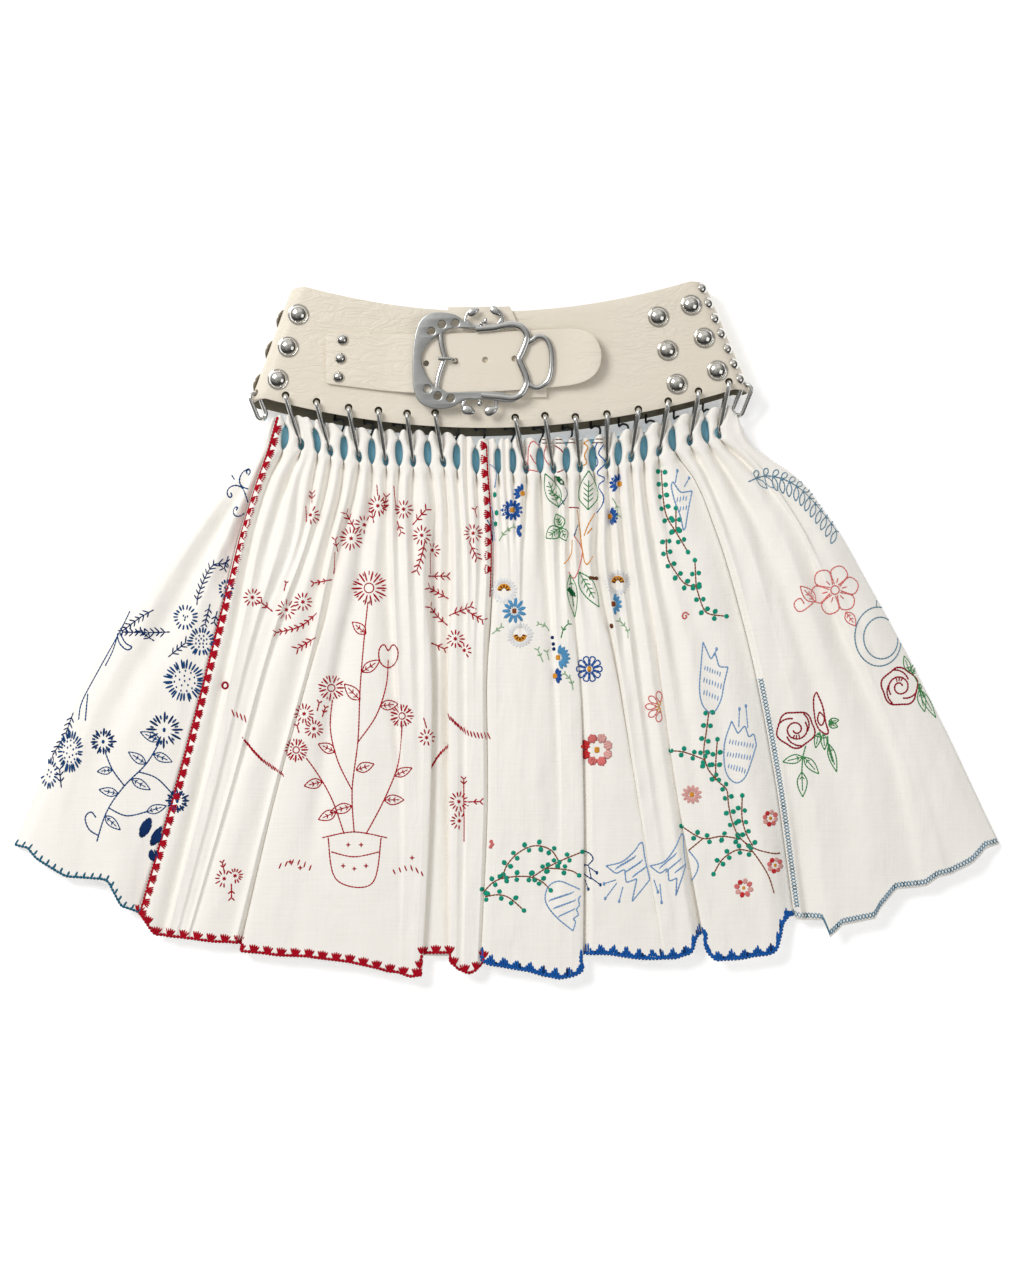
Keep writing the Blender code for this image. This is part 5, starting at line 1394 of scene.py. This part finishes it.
for points, barb in (
    (((272.4, 611.4), (261.9, 602.9)), 3.8), (((316.8, 612.8), (300, 626.6), (276.3, 632.5)), 3.4),
    (((315.8, 637.5), (298, 648.3)), 4.2), (((331.7, 579.7), (313.9, 583)), 2.8), (((355.4, 529.7), (346.5, 514)), 3.8),
    (((337.6, 551.5), (335.6, 540)), 3.0), (((312, 503), (312, 494)), 3.2), (((374, 523), (372, 513)), 3.2),
    (((383, 514), (386, 497)), 3.6), (((397, 521), (401, 532)), 3.6), (((412.6, 524.8), (425.9, 510)), 3.8),
    (((425, 541.4), (422, 555), (417, 570)), 3.8), (((427.7, 576), (446.4, 576)), 4.0),
    (((448.2, 598.6), (429.5, 588)), 4.0), (((447.3, 625.4), (438, 617), (430.4, 607.5)), 3.8),
    (((449, 615.5), (460, 611), (470.5, 606.6)), 4.2), (((467, 611), (482, 620)), 3.8), (((431, 643), (443.8, 648.6)), 3.2),
    (((469.6, 543), (476.8, 557.5)), 4.2), (((477, 518), (475, 510)), 3.0), (((284, 591), (286, 583)), 2.4),
    (((317, 711), (319, 703)), 2.4), (((322, 717), (325, 708)), 2.4), (((299, 733), (297, 726)), 2.8),
    (((463.8, 789), (463.8, 779.5)), 2.8), (((468, 802), (480, 801.7)), 3.2), (((224, 872), (222, 863)), 2.8),
    (((231, 884), (231, 898)), 3.2),
):
    sprig(points, "red", barb, 3.4)
for points in (((335, 552), (333.6, 574)), ((394, 486), (396, 510)), ((377, 485), (378, 496)), ((463.8, 789), (464, 842)),
               ((306, 506), (306.5, 522)), ((423.6, 717.8), (426.6, 728)), ((430, 552), (430, 574))):
    drawn(points, "red", 0.85)
ticks(((233, 713), (245, 719)), "red", 6.5, 105, 4.2)
ticks(((243.7, 740), (262, 760), (282, 774)), "red", 6.2, 118, 3.0)
ticks(((449, 717), (468, 733), (488.8, 736)), "red", 6.6, 110, 3.0)
ticks(((431.4, 767), (439, 755), (447.2, 747)), "red", 5.6, 70, 3.0)
for angle in range(0, 360, 24):
    stitch(spot(224.9, 685.5) + polar(1.8, angle), spot(224.9, 685.5) + polar(3.6, angle), "rose", 1.6, 0.8)
for points in (
    ((328, 838), (336, 880), (372, 884), (381, 838)), ((322, 838), (354, 832), (387, 838)),
    ((331, 852), (354, 857), (379, 852)), ((354, 832), (352, 790), (358, 740), (360, 690), (364, 640), (368, 602)),
    ((344, 834), (332, 800), (316, 772), (306, 758)), ((366, 834), (384, 800), (398, 764), (402, 726)),
    ((352, 790), (338, 762), (330, 730), (332, 700)), ((358, 742), (376, 716), (386, 686), (388, 660)),
):
    drawn(points, "red", 0.85)
for base, tip, width in (
    ((352, 806), (330, 812), 8), ((356, 770), (374, 764), 8), ((360, 700), (344, 684), 9), ((362, 672), (380, 660), 8),
    ((336, 812), (318, 820), 8), ((384, 800), (404, 800), 8), ((322, 782), (304, 786), 8), ((335, 752), (318, 744), 8),
    ((394, 776), (412, 768), 7), ((380, 706), (398, 704), 8), ((366, 634), (352, 622), 8),
):
    leaf_outline(base, tip, width, "red", 2)
for u, v, radius, petals in ((369, 588, 15.5, 14), (331, 688, 11.5, 11), (402, 716, 10.5, 11), (296, 750, 10.5, 12)):
    dash_star(u, v, radius, petals, "red", share=(0.38, 1.0), width=1.15)
    dash_star(u, v, radius, petals, "red", start=180 / petals, share=(0.7, 0.92), width=0.8)
    drawn([(u + radius * 0.32 * math.cos(a / 4 * math.pi), v + radius * 0.32 * math.sin(a / 4 * math.pi))
           for a in range(8)], "red", 0.8, True, 2.0)
drawn(((380, 662), (379, 650), (384, 644), (388, 651), (393, 644), (398, 651), (396, 662), (388, 668)), "red", 0.9, True)
for u, v in ((343, 866), (354, 869), (366, 866), (348, 845), (361, 845), (290, 862), (300, 868), (412, 858)):
    stitch(spot(u - 2.4, v), spot(u + 2.4, v), "red", 0.85)
    stitch(spot(u, v - 2.4), spot(u, v + 2.4), "red", 0.85)
ticks(((280, 866), (296, 862), (310, 868)), "red", 5.5, 70, 5.5)
ticks(((394, 872), (410, 868), (422, 874)), "red", 5.5, 110, 5.5)

# Blue panel: daisies, cornflowers and outlined leaves in the gathers, leafy vines and hatched
# tulips below.
DAISIES = (
    # photo x, y, radius, petals, colour, centre, first angle, arc, squash
    (512.1, 510.2, 9.6, 13, "corn", "orange", 0, 360, 1.0), (522.6, 493.5, 8.2, 13, "corn", "orange", 80, 150, 1.0),
    (521.5, 531.0, 6.0, 12, "corn", None, 90, 170, 0.8), (619.6, 484.0, 9.4, 13, "corn", "orange", 80, 160, 1.0),
    (609.8, 516.4, 9.0, 13, "corn", "orange", -80, 160, 0.8), (514.3, 611.0, 11.6, 11, "azure", "stem", 0, 360, 0.95),
    (613.4, 604.0, 10.0, 11, "azure", "stem", -90, 180, 0.8), (558.0, 657.5, 11.4, 16, "azure", "orange", -80, 170, 1.0),
    (555.0, 676.0, 8.0, 12, "corn", "orange", -70, 150, 0.8),
    (692.0, 794.8, 8.8, 11, "blush", "orange", 0, 360, 1.0),
)
for u, v, radius, petals, colour, centre, start, arc, squash in DAISIES:
    daisy(u, v, radius, petals, colour, centre, start, arc, squash=squash, width=2.3)
for u, v, start in ((504.0, 590.5, 0), (520.0, 635.0, 180), (617.9, 582.5, 0)):
    daisy(u, v, 11.5, 22, "white", None, 0, 360, 1.6, 0.5)
    for i in range(9):
        spread = polar(5.0, start + 20 * i + 10)
        stitch(spot(u, v) + spread * 0.35, spot(u, v) + spread, "orange" if i % 2 else "brown", 1.4)
    stem_line([spot(u, v) + polar(5.2, start + a) for a in range(0, 181, 20)], "orange", 1.2, 2.2)
knot(spot(611.6, 626), "brown", 3.0)
for u, v in ((552.0, 637.0), (553.0, 643.5), (553.5, 648.5)):
    satin(spot(u - 1.5, v), spot(u + 2.2, v + 1), 2.4, "ink", 3)
for i in range(10):
    angle = 36 * i
    tips = [spot(589.3, 669) + polar(r, angle + d) for r, d in ((3.0, -9), (11.0, -15), (9.6, -5), (12.4, 0), (9.6, 5),
                                                                (11.0, 15), (3.0, 9))]
    stem_line(tips, "corn", 0.95, 3.0)
knot(spot(589.3, 669), "orange", 3.6)
daisy(597.0, 750.0, 14.8, 8, ("blush", "blush", "coral", "scarlet", "scarlet", "coral", "coral", "blush"), "orange",
      0, 360, 6.2, 0.42, hub=2.2)
for u, v, radius in ((771.0, 818.6, 7.4), (775.7, 865.7, 7.4), (744.0, 888.3, 8.6)):
    daisy(u, v, radius, 8, ("coral", "blush", "scarlet"), "orange", 10, 360, 3.2, 0.38, hub=1.3)
daisy(488.6, 844.3, 5.0, 8, "coral", None, -80, 150, 2.4)
for i in range(5):
    angle = 100 + 40 * i
    petal = [spot(661, 706.7) + polar(r, angle + d) for r, d in ((4, -6), (10.5, -16), (13.5, 0), (10.5, 16), (4, 6))]
    stem_line(smooth_loop(petal, 3, False), "coral", 0.8)
    stitch(spot(661, 706.7) + polar(1, angle), spot(661, 706.7) + polar(5.5, angle), "orange", 0.9)
drawn(((685, 615), (687, 617), (684, 619), (682, 616), (685, 612), (689, 615)), "coral", 1.1, step=2.0)
for base, tip, width, colour, veins in (
    ((559, 507), (545, 474), 12, "green", 4), ((560, 528), (546, 538), 11, "green", 3), ((562, 528), (556, 514), 9, "green", 3),
    ((588, 510), (588.6, 471), 16, "green", 4), ((579, 572), (599, 607), 12, "green", 4), ((561, 528), (566, 541), 8, "green", 2),
    ((570, 574), (575, 617), 8, "green", 2),
):
    leaf_outline(base, tip, width, colour, veins)
satin(spot(566, 586), spot(576, 597), 3.6, "dark green")
satin(spot(555, 476), spot(565, 486), 3.6, "dark green")
for points, colour in (
    (((539, 446.8), (533, 441.4), (528.6, 448.6), (527.7, 469)), "coral"), (((528, 470), (534, 471), (541, 473)), "coral"),
    (((530, 455), (534, 462), (539, 467)), "coral"), (((546, 446), (543.8, 455.7), (547, 463), (552, 468)), "coral"),
    (((554.5, 446), (562.5, 452), (564, 462), (563.4, 470), (553.6, 473.6)), "rose"),
    (((565, 487), (567, 496), (558, 508)), "navy"), (((578, 525), (574, 536)), "navy"),
    (((569, 507.5), (579, 508)), "rose"), (((574, 536), (582, 548.6), (580, 565), (574, 579), (568.8, 571.8)), "coral"),
    (((577, 510), (580, 530), (582, 548), (586, 565), (593, 556)), "orange"), (((572, 540), (571, 555), (564, 564)), "orange"),
    (((595, 513), (588, 525), (584, 536)), "orange"), (((592, 528), (587, 534)), "orange"),
    (((586, 434), (589, 440), (583, 444), (588, 447), (584, 456), (587, 463), (583, 466)), "orange"),
    (((603.6, 445), (598.2, 454), (605.4, 462.9), (596.4, 473.6), (605.4, 479), (598, 486), (603.6, 496.8), (601.8, 505.7),
      (596.4, 512.9)), "hem blue"),
    (((597, 443), (594, 452), (598, 462), (594, 470)), "hem blue"), (((490, 464.6), (496.4, 471.8), (494.6, 488)), "sky"),
    (((488, 502), (493, 512), (494, 530), (495, 541)), "sky"), (((487, 520), (491, 528), (493, 545)), "navy"),
):
    drawn(points, colour, 0.85)
for left, right, v in ((542, 552, 440), (555.5, 565, 440), (567, 576, 439.6), (592, 602.5, 439.6)):
    for drop in (0, 3.6):
        straight(((left, v + drop), (right, v + drop)), "brown", 0.75)
straight(((589, 578), (598, 578.4)), "brown", 2.4)
for u, v in ((494.6, 495), (496.4, 513), (495.5, 524)):
    satin(spot(u, v - 3), spot(u, v + 3), 2.6, "leaf", 3)
for points, colour in (
    (((499, 541), (505, 532), (513, 527)), "pale green"), (((492, 634), (501, 627)), "pale green"),
    (((549, 631), (546, 626), (539, 624)), "pale green"), (((561, 638), (563.5, 629), (568, 624)), "green"),
    (((543, 662), (540, 655), (538, 650)), "pale green"), (((549, 660), (547, 652)), "pale green"),
    (((628, 638), (627, 629), (620, 621)), "pale green"), (((573, 690), (571, 680), (565, 674)), "pale green"),
    (((564, 505), (560, 498), (552, 493)), "green"), (((612, 498), (616, 505), (618, 515)), "pale green"),
):
    sprig(points, colour, 2.6, 4.4, 0.8)
for points in (
    ((661.4, 470), (662.6, 491.4), (666, 515), (675.7, 532), (686.4, 549.8)), ((675.7, 532), (675.7, 511)),
    ((666, 539), (667.4, 558), (675.7, 572.4), (685, 584), (696, 586.7)), ((696, 586.7), (694.8, 562.9)),
    ((696, 586.7), (703, 608), (709, 614), (724, 616)),
    ((709, 711.4), (706.2, 732.9), (703.8, 752), (707.9, 768.6), (718.6, 781.7), (727, 790), (728.6, 804.3),
     (731.7, 819.8), (737.6, 835.2)), ((705.5, 760), (685, 752.4), (674, 751)), ((715.7, 780.5), (716, 760), (717.4, 742)),
    ((753, 846), (747, 835), (742.4, 818.6), (742.4, 798.3)), ((738.8, 838.8), (721, 836.4), (703, 838.8), (684, 828)),
    ((752, 852), (737.6, 850), (723, 859), (715, 872)),
    ((484, 892), (492.5, 883), (502.6, 878.5), (518.4, 876.6), (532.2, 877.5), (542.4, 882.2), (548.9, 888.6)),
    ((502.6, 878.5), (506.3, 866.5), (516.5, 854.4), (529.5, 847), (540.6, 846.1), (551.7, 850.7), (558, 860)),
    ((532.2, 877.5), (546.1, 868.3), (562.8, 860), (580, 853)), ((546.1, 868.3), (560.9, 869.2), (572, 871), (577, 874)),
    ((485, 897), (498, 895), (509, 897.9), (522, 909)),
):
    vine(points)
for points in (((737.6, 835.2), (744.8, 842.4), (756.7, 849.5), (773.3, 853.8), (781, 853.8)),
               ((744.8, 842.4), (756.7, 856.7), (768.6, 875.7), (774.5, 893.6)), ((703, 838.8), (688.8, 850.7))):
    drawn(points, "stem", 0.9)
tulip(((671, 487), (674, 500), (680, 516), (684, 531), (688, 510), (692, 491)),
      ((671, 487), (672, 481), (680, 493), (692, 491)), (((675, 483), (677, 471)), ((684, 487), (689, 478))),
      (((677, 500), (686, 498)), ((680, 509), (686, 508))), "sky", 80)
tulip(((703, 642), (701, 665), (699.5, 690), (703, 706), (713, 713), (721, 700), (724, 684), (728, 667)),
      ((703, 642), (711, 660), (715, 652), (719, 667), (728, 667)), (((714, 656), (716.5, 649)),),
      (((705, 668), (720, 674)), ((704, 680), (721, 686)), ((704, 692), (718, 698))), "sky", 82)
tulip(((731.7, 721), (724.5, 744.8), (725.7, 771), (735, 782.9), (744.8, 778), (752, 760), (756.7, 744.8)),
      ((731.7, 721), (738, 734), (745, 725), (749, 738), (754, 733), (756.7, 744.8)),
      (((738.8, 727), (739.5, 709)), ((748, 728), (746, 706))),
      (((730, 742), (753, 746)), ((728, 754), (750, 758)), ((729, 766), (745, 771))), "sky", 78)
tulip(((606, 866), (622, 862), (634, 852), (642, 842), (645, 858), (650, 880)),
      ((606, 866), (616, 874), (625, 869), (626, 883), (637, 879), (632, 902), (642, 890), (650, 880)),
      (((617, 883), (605.3, 898.8)), ((623, 887), (619.2, 901.6)), ((616, 880), (604, 884))),
      (((617, 868), (634, 858)), ((626, 872), (641, 862)), ((634, 876), (645, 868))), "sky", 50)
tulip(((650, 866), (664, 862), (674, 850), (682.9, 833), (684, 850), (686, 866)),
      ((650, 866), (660, 874), (668, 868), (669, 882), (677, 878), (676, 896), (686, 866)),
      (((660, 884), (661.7, 902.5)), ((654, 880), (658, 892))),
      (((661, 867), (675, 855)), ((667, 871), (680, 860)), ((676, 872), (684, 866))), "sky", 50)
tulip(((583, 852), (589, 853), (593.5, 859), (588.6, 865)), ((583, 866), (588.6, 865), (591.4, 879.4), (583, 874)),
      (((590, 868), (597, 873)), ((591, 878), (600.5, 885)), ((585, 880), (588.5, 889.5))), (), "navy", 50)
drawn(((689, 851), (698, 863), (697, 872), (692, 881)), "sky", 0.9)
tulip(((580, 889.6), (570, 885), (559, 881.2), (549, 886), (545.2, 896), (547, 905.3), (557, 918), (573, 931)),
      ((573, 931), (576, 922), (573, 919), (579, 915), (576, 909), (580, 906), (578, 899), (581, 896)), (),
      (((551, 900), (572, 893)), ((555, 908), (574, 901)), ((560, 916), (573, 910))), "sky", 35)

# Right panel: red roses with green leaves and a double ring, and a blue fern spray over a
# coral open flower.
rose(900.7, 687.0, 16.0, "rose", 20, 1.0)
rose(796.0, 729.5, 15.4, "rose", 200, 1.05)
drawn(((817, 692), (814, 700), (816, 722), (822, 732), (829, 734), (826, 722), (823, 706), (817, 692)), "rose", 1.1)
drawn(((820, 712), (818, 720), (822, 726), (825, 718), (820, 712)), "rose", 1.0, step=2.2)
for points in (((806, 746), (803, 757), (802, 772)), ((828, 736), (829, 748), (833, 762)), ((820, 732), (822, 740))):
    drawn(points, "green", 0.9)
for base, tip, width in (
    ((803, 757), (783, 762), 7), ((804, 757), (819, 774), 7), ((802, 772), (803, 797), 8), ((829, 744), (837, 772), 6),
    ((829, 722), (839, 720), 5), ((829, 724), (838, 727), 5), ((819, 733), (816, 748), 5), ((824, 734), (825, 750), 5),
    ((911, 672), (906, 656), 6), ((914, 674), (921, 662), 6), ((921, 690), (926, 712), 7), ((922, 690), (938, 718), 6),
    ((921, 690), (922, 684), 4),
):
    leaf_outline(base, tip, width, "green", 1)
drawn(((912, 670), (918, 680), (923, 692)), "green", 0.9)
for rx, ry, u, v, colour in ((21.0, 25.5, 879.5, 636.5, "dusty"), (15.5, 18.0, 882.0, 638.0, "dusty")):
    drawn([(u + rx / PHOTO_SCALE * math.cos(a / 8 * math.pi), v + ry / PHOTO_SCALE * math.sin(a / 8 * math.pi))
           for a in range(16)], colour, 0.9, True)
drawn(((878, 607), (879, 598), (884, 592)), "dusty", 0.8)
FERN = ((748, 482), (765, 476), (785, 480), (805, 492), (824, 512), (838, 530))
drawn(FERN, "dusty", 1.0)
for place, heading in walk(smooth_loop(spots(FERN), cyclic=False), 7.4)[1:]:
    for turn, reach in ((-1, 13.0), (1, 7.5)):
        out = Vector((heading.x * 0.5 - turn * heading.y, heading.y * 0.5 + turn * heading.x)).normalized()
        spread = Vector((-out.y, out.x)) * 2.4
        loop = [place, place + out * reach * 0.5 + spread, place + out * reach, place + out * reach * 0.5 - spread, place]
        stem_line(smooth_loop(loop, 4, False), "dusty", 0.8, 2.8)
for i in range(6):
    angle = 60 * i + 15
    petal = [spot(835, 590) + polar(r, angle + d) for r, d in ((5, -20), (17, -27), (21.5, 0), (17, 27), (5, 20))]
    stem_line(smooth_loop(petal, 4, False), "coral", 0.85)
    stitch(spot(835, 590) + polar(6, angle), spot(835, 590) + polar(11, angle), "coral", 0.8)
drawn([(835 + 4.5 * math.cos(a / 3 * math.pi), 590 + 4.5 * math.sin(a / 3 * math.pi)) for a in range(6)], "coral", 0.9,
      True, 2.2)
drawn(((813, 603), (800, 612), (794, 604), (800, 598), (804, 604)), "coral", 0.85)
leaf_outline((816, 602), (800, 586), 9, "coral", 2)
leaf_outline((846, 612), (856, 626), 8, "coral", 2)


def linear(code):
    """Scene colour of a named thread's code."""
    return tuple((int(code[i:i + 2], 16) / 255) ** 2.2 for i in (1, 3, 5))


cottons = {}
for colour, code in THREADS.items():
    cotton, nodes, links, shader = new_material("thread " + colour, 0.8)
    place = nodes.new("ShaderNodeTexCoord").outputs["Object"]
    tone = nodes.new("ShaderNodeMix")
    tone.data_type = "RGBA"
    shade = linear(code)
    tone.inputs["A"].default_value = (*(0.60 * c for c in shade), 1)
    tone.inputs["B"].default_value = (*(min(1.02 * c, 1) for c in shade), 1)
    links.new(stretched_noise(nodes, links, place, 60, (1, 1, 1), 3), tone.inputs["Factor"])
    links.new(tone.outputs["Result"], shader.inputs["Base Color"])
    shader.inputs["Specular IOR Level"].default_value = 0.15
    cottons[colour] = cotton
sewn_pieces = {}
for name, sewn in work.items():
    stitched = sewn_pieces[name] = mesh_object(name.replace("panel", "embroidery"), sewn["points"], sewn["faces"])
    used = sorted(set(sewn["colours"]))
    for colour in used:
        stitched.data.materials.append(cottons[colour])
    if len(stitched.data.polygons) == len(sewn["colours"]):
        stitched.data.polygons.foreach_set("material_index", [used.index(c) for c in sewn["colours"]])
    else:
        raise ValueError("a stitch was lost")
    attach(stitched, "root")

# Floor, light and camera: a white sweep under soft overhead light, seen from straight above
# at the photograph's distance.
floor = mesh_object("floor", [(-3000, -3000, 0), (3000, -3000, 0), (3000, 3000, 0), (-3000, 3000, 0)], [(0, 1, 2, 3)])
floor_paint, nodes, links, shader = new_material("white floor", 0.9)
shader.inputs["Base Color"].default_value = (0.96, 0.96, 0.96, 1)
shader.inputs["Specular IOR Level"].default_value = 0.0
shader.inputs["Emission Color"].default_value = (1, 1, 1, 1)
shader.inputs["Emission Strength"].default_value = 0.30
floor.data.materials.append(floor_paint)
world = bpy.data.worlds.new("studio")
bpy.context.scene.world = world
world.use_nodes = True
nodes, links = world.node_tree.nodes, world.node_tree.links
# Soft white all round for the cloth; polished metal mirrors a room with dark and bright bands
way = nodes.new("ShaderNodeTexCoord").outputs["Generated"]
parts = nodes.new("ShaderNodeSeparateXYZ")
links.new(way, parts.inputs["Vector"])
cloudy = nodes.new("ShaderNodeTexNoise")
cloudy.inputs["Scale"].default_value = 2.3
cloudy.inputs["Detail"].default_value = 1.0
links.new(way, cloudy.inputs["Vector"])
slope = math_node(nodes, links, "ADD", math_node(nodes, links, "MULTIPLY", parts.outputs["Z"], 0.27),
                  math_node(nodes, links, "MULTIPLY", parts.outputs["Y"], 0.30))
slope = math_node(nodes, links, "SUBTRACT", slope, math_node(nodes, links, "MULTIPLY", parts.outputs["X"], 0.10))
patchy = math_node(nodes, links, "MULTIPLY", math_node(nodes, links, "SUBTRACT", cloudy.outputs["Fac"], 0.5), 0.30)
height = math_node(nodes, links, "ADD", math_node(nodes, links, "ADD", slope, patchy), 0.5)
bands = nodes.new("ShaderNodeValToRGB")
links.new(height, bands.inputs["Fac"])
band_stops = ((0.0, 0.35), (0.25, 0.5), (0.36, 0.10), (0.52, 0.07), (0.64, 0.28), (0.73, 0.62), (0.80, 0.80), (0.88, 1.6), (1.0, 1.2))
while len(bands.color_ramp.elements) < len(band_stops):
    bands.color_ramp.elements.new(0.5)
for element, (stop, value) in zip(bands.color_ramp.elements, band_stops):
    element.position = stop
    element.color = (value, value * 0.99, value * 0.96, 1)
seen = nodes.new("ShaderNodeLightPath")
pick = nodes.new("ShaderNodeMix")
pick.data_type = "RGBA"
links.new(seen.outputs["Is Glossy Ray"], pick.inputs["Factor"])
pick.inputs["A"].default_value = (1.0, 1.0, 1.0, 1)
links.new(bands.outputs["Color"], pick.inputs["B"])
links.new(pick.outputs["Result"], nodes["Background"].inputs["Color"])
nodes["Background"].inputs["Strength"].default_value = 0.50
for name, place_at, size, power in (("key", (-1.5, 1.3, 1.9), 1.1, 44.0), ("fill", (1.9, -0.4, 2.4), 1.6, 9.0)):
    lamp = bpy.data.lights.new(name, "AREA")
    lamp.size = size
    lamp.energy = power
    lamp_object = bpy.data.objects.new(name, lamp)
    lamp_object.location = place_at
    lamp_object.rotation_euler = (-Vector(place_at)).to_track_quat("-Z", "Y").to_euler()
    bpy.context.scene.collection.objects.link(lamp_object)
CAMERA_HEIGHT, PIXEL = 2600.0, 0.865
camera = bpy.data.cameras.new("camera")
camera.sensor_fit = "VERTICAL"
camera.sensor_height = 24.0
camera.lens = 12.0 * CAMERA_HEIGHT / (640 * PIXEL)
camera.clip_end = 20.0
camera_object = bpy.data.objects.new("camera", camera)
camera_object.location = (4.3 * MM, -7.6 * MM, CAMERA_HEIGHT * MM)
bpy.context.scene.collection.objects.link(camera_object)
bpy.context.scene.camera = camera_object
bpy.context.scene.view_settings.view_transform = "Standard"
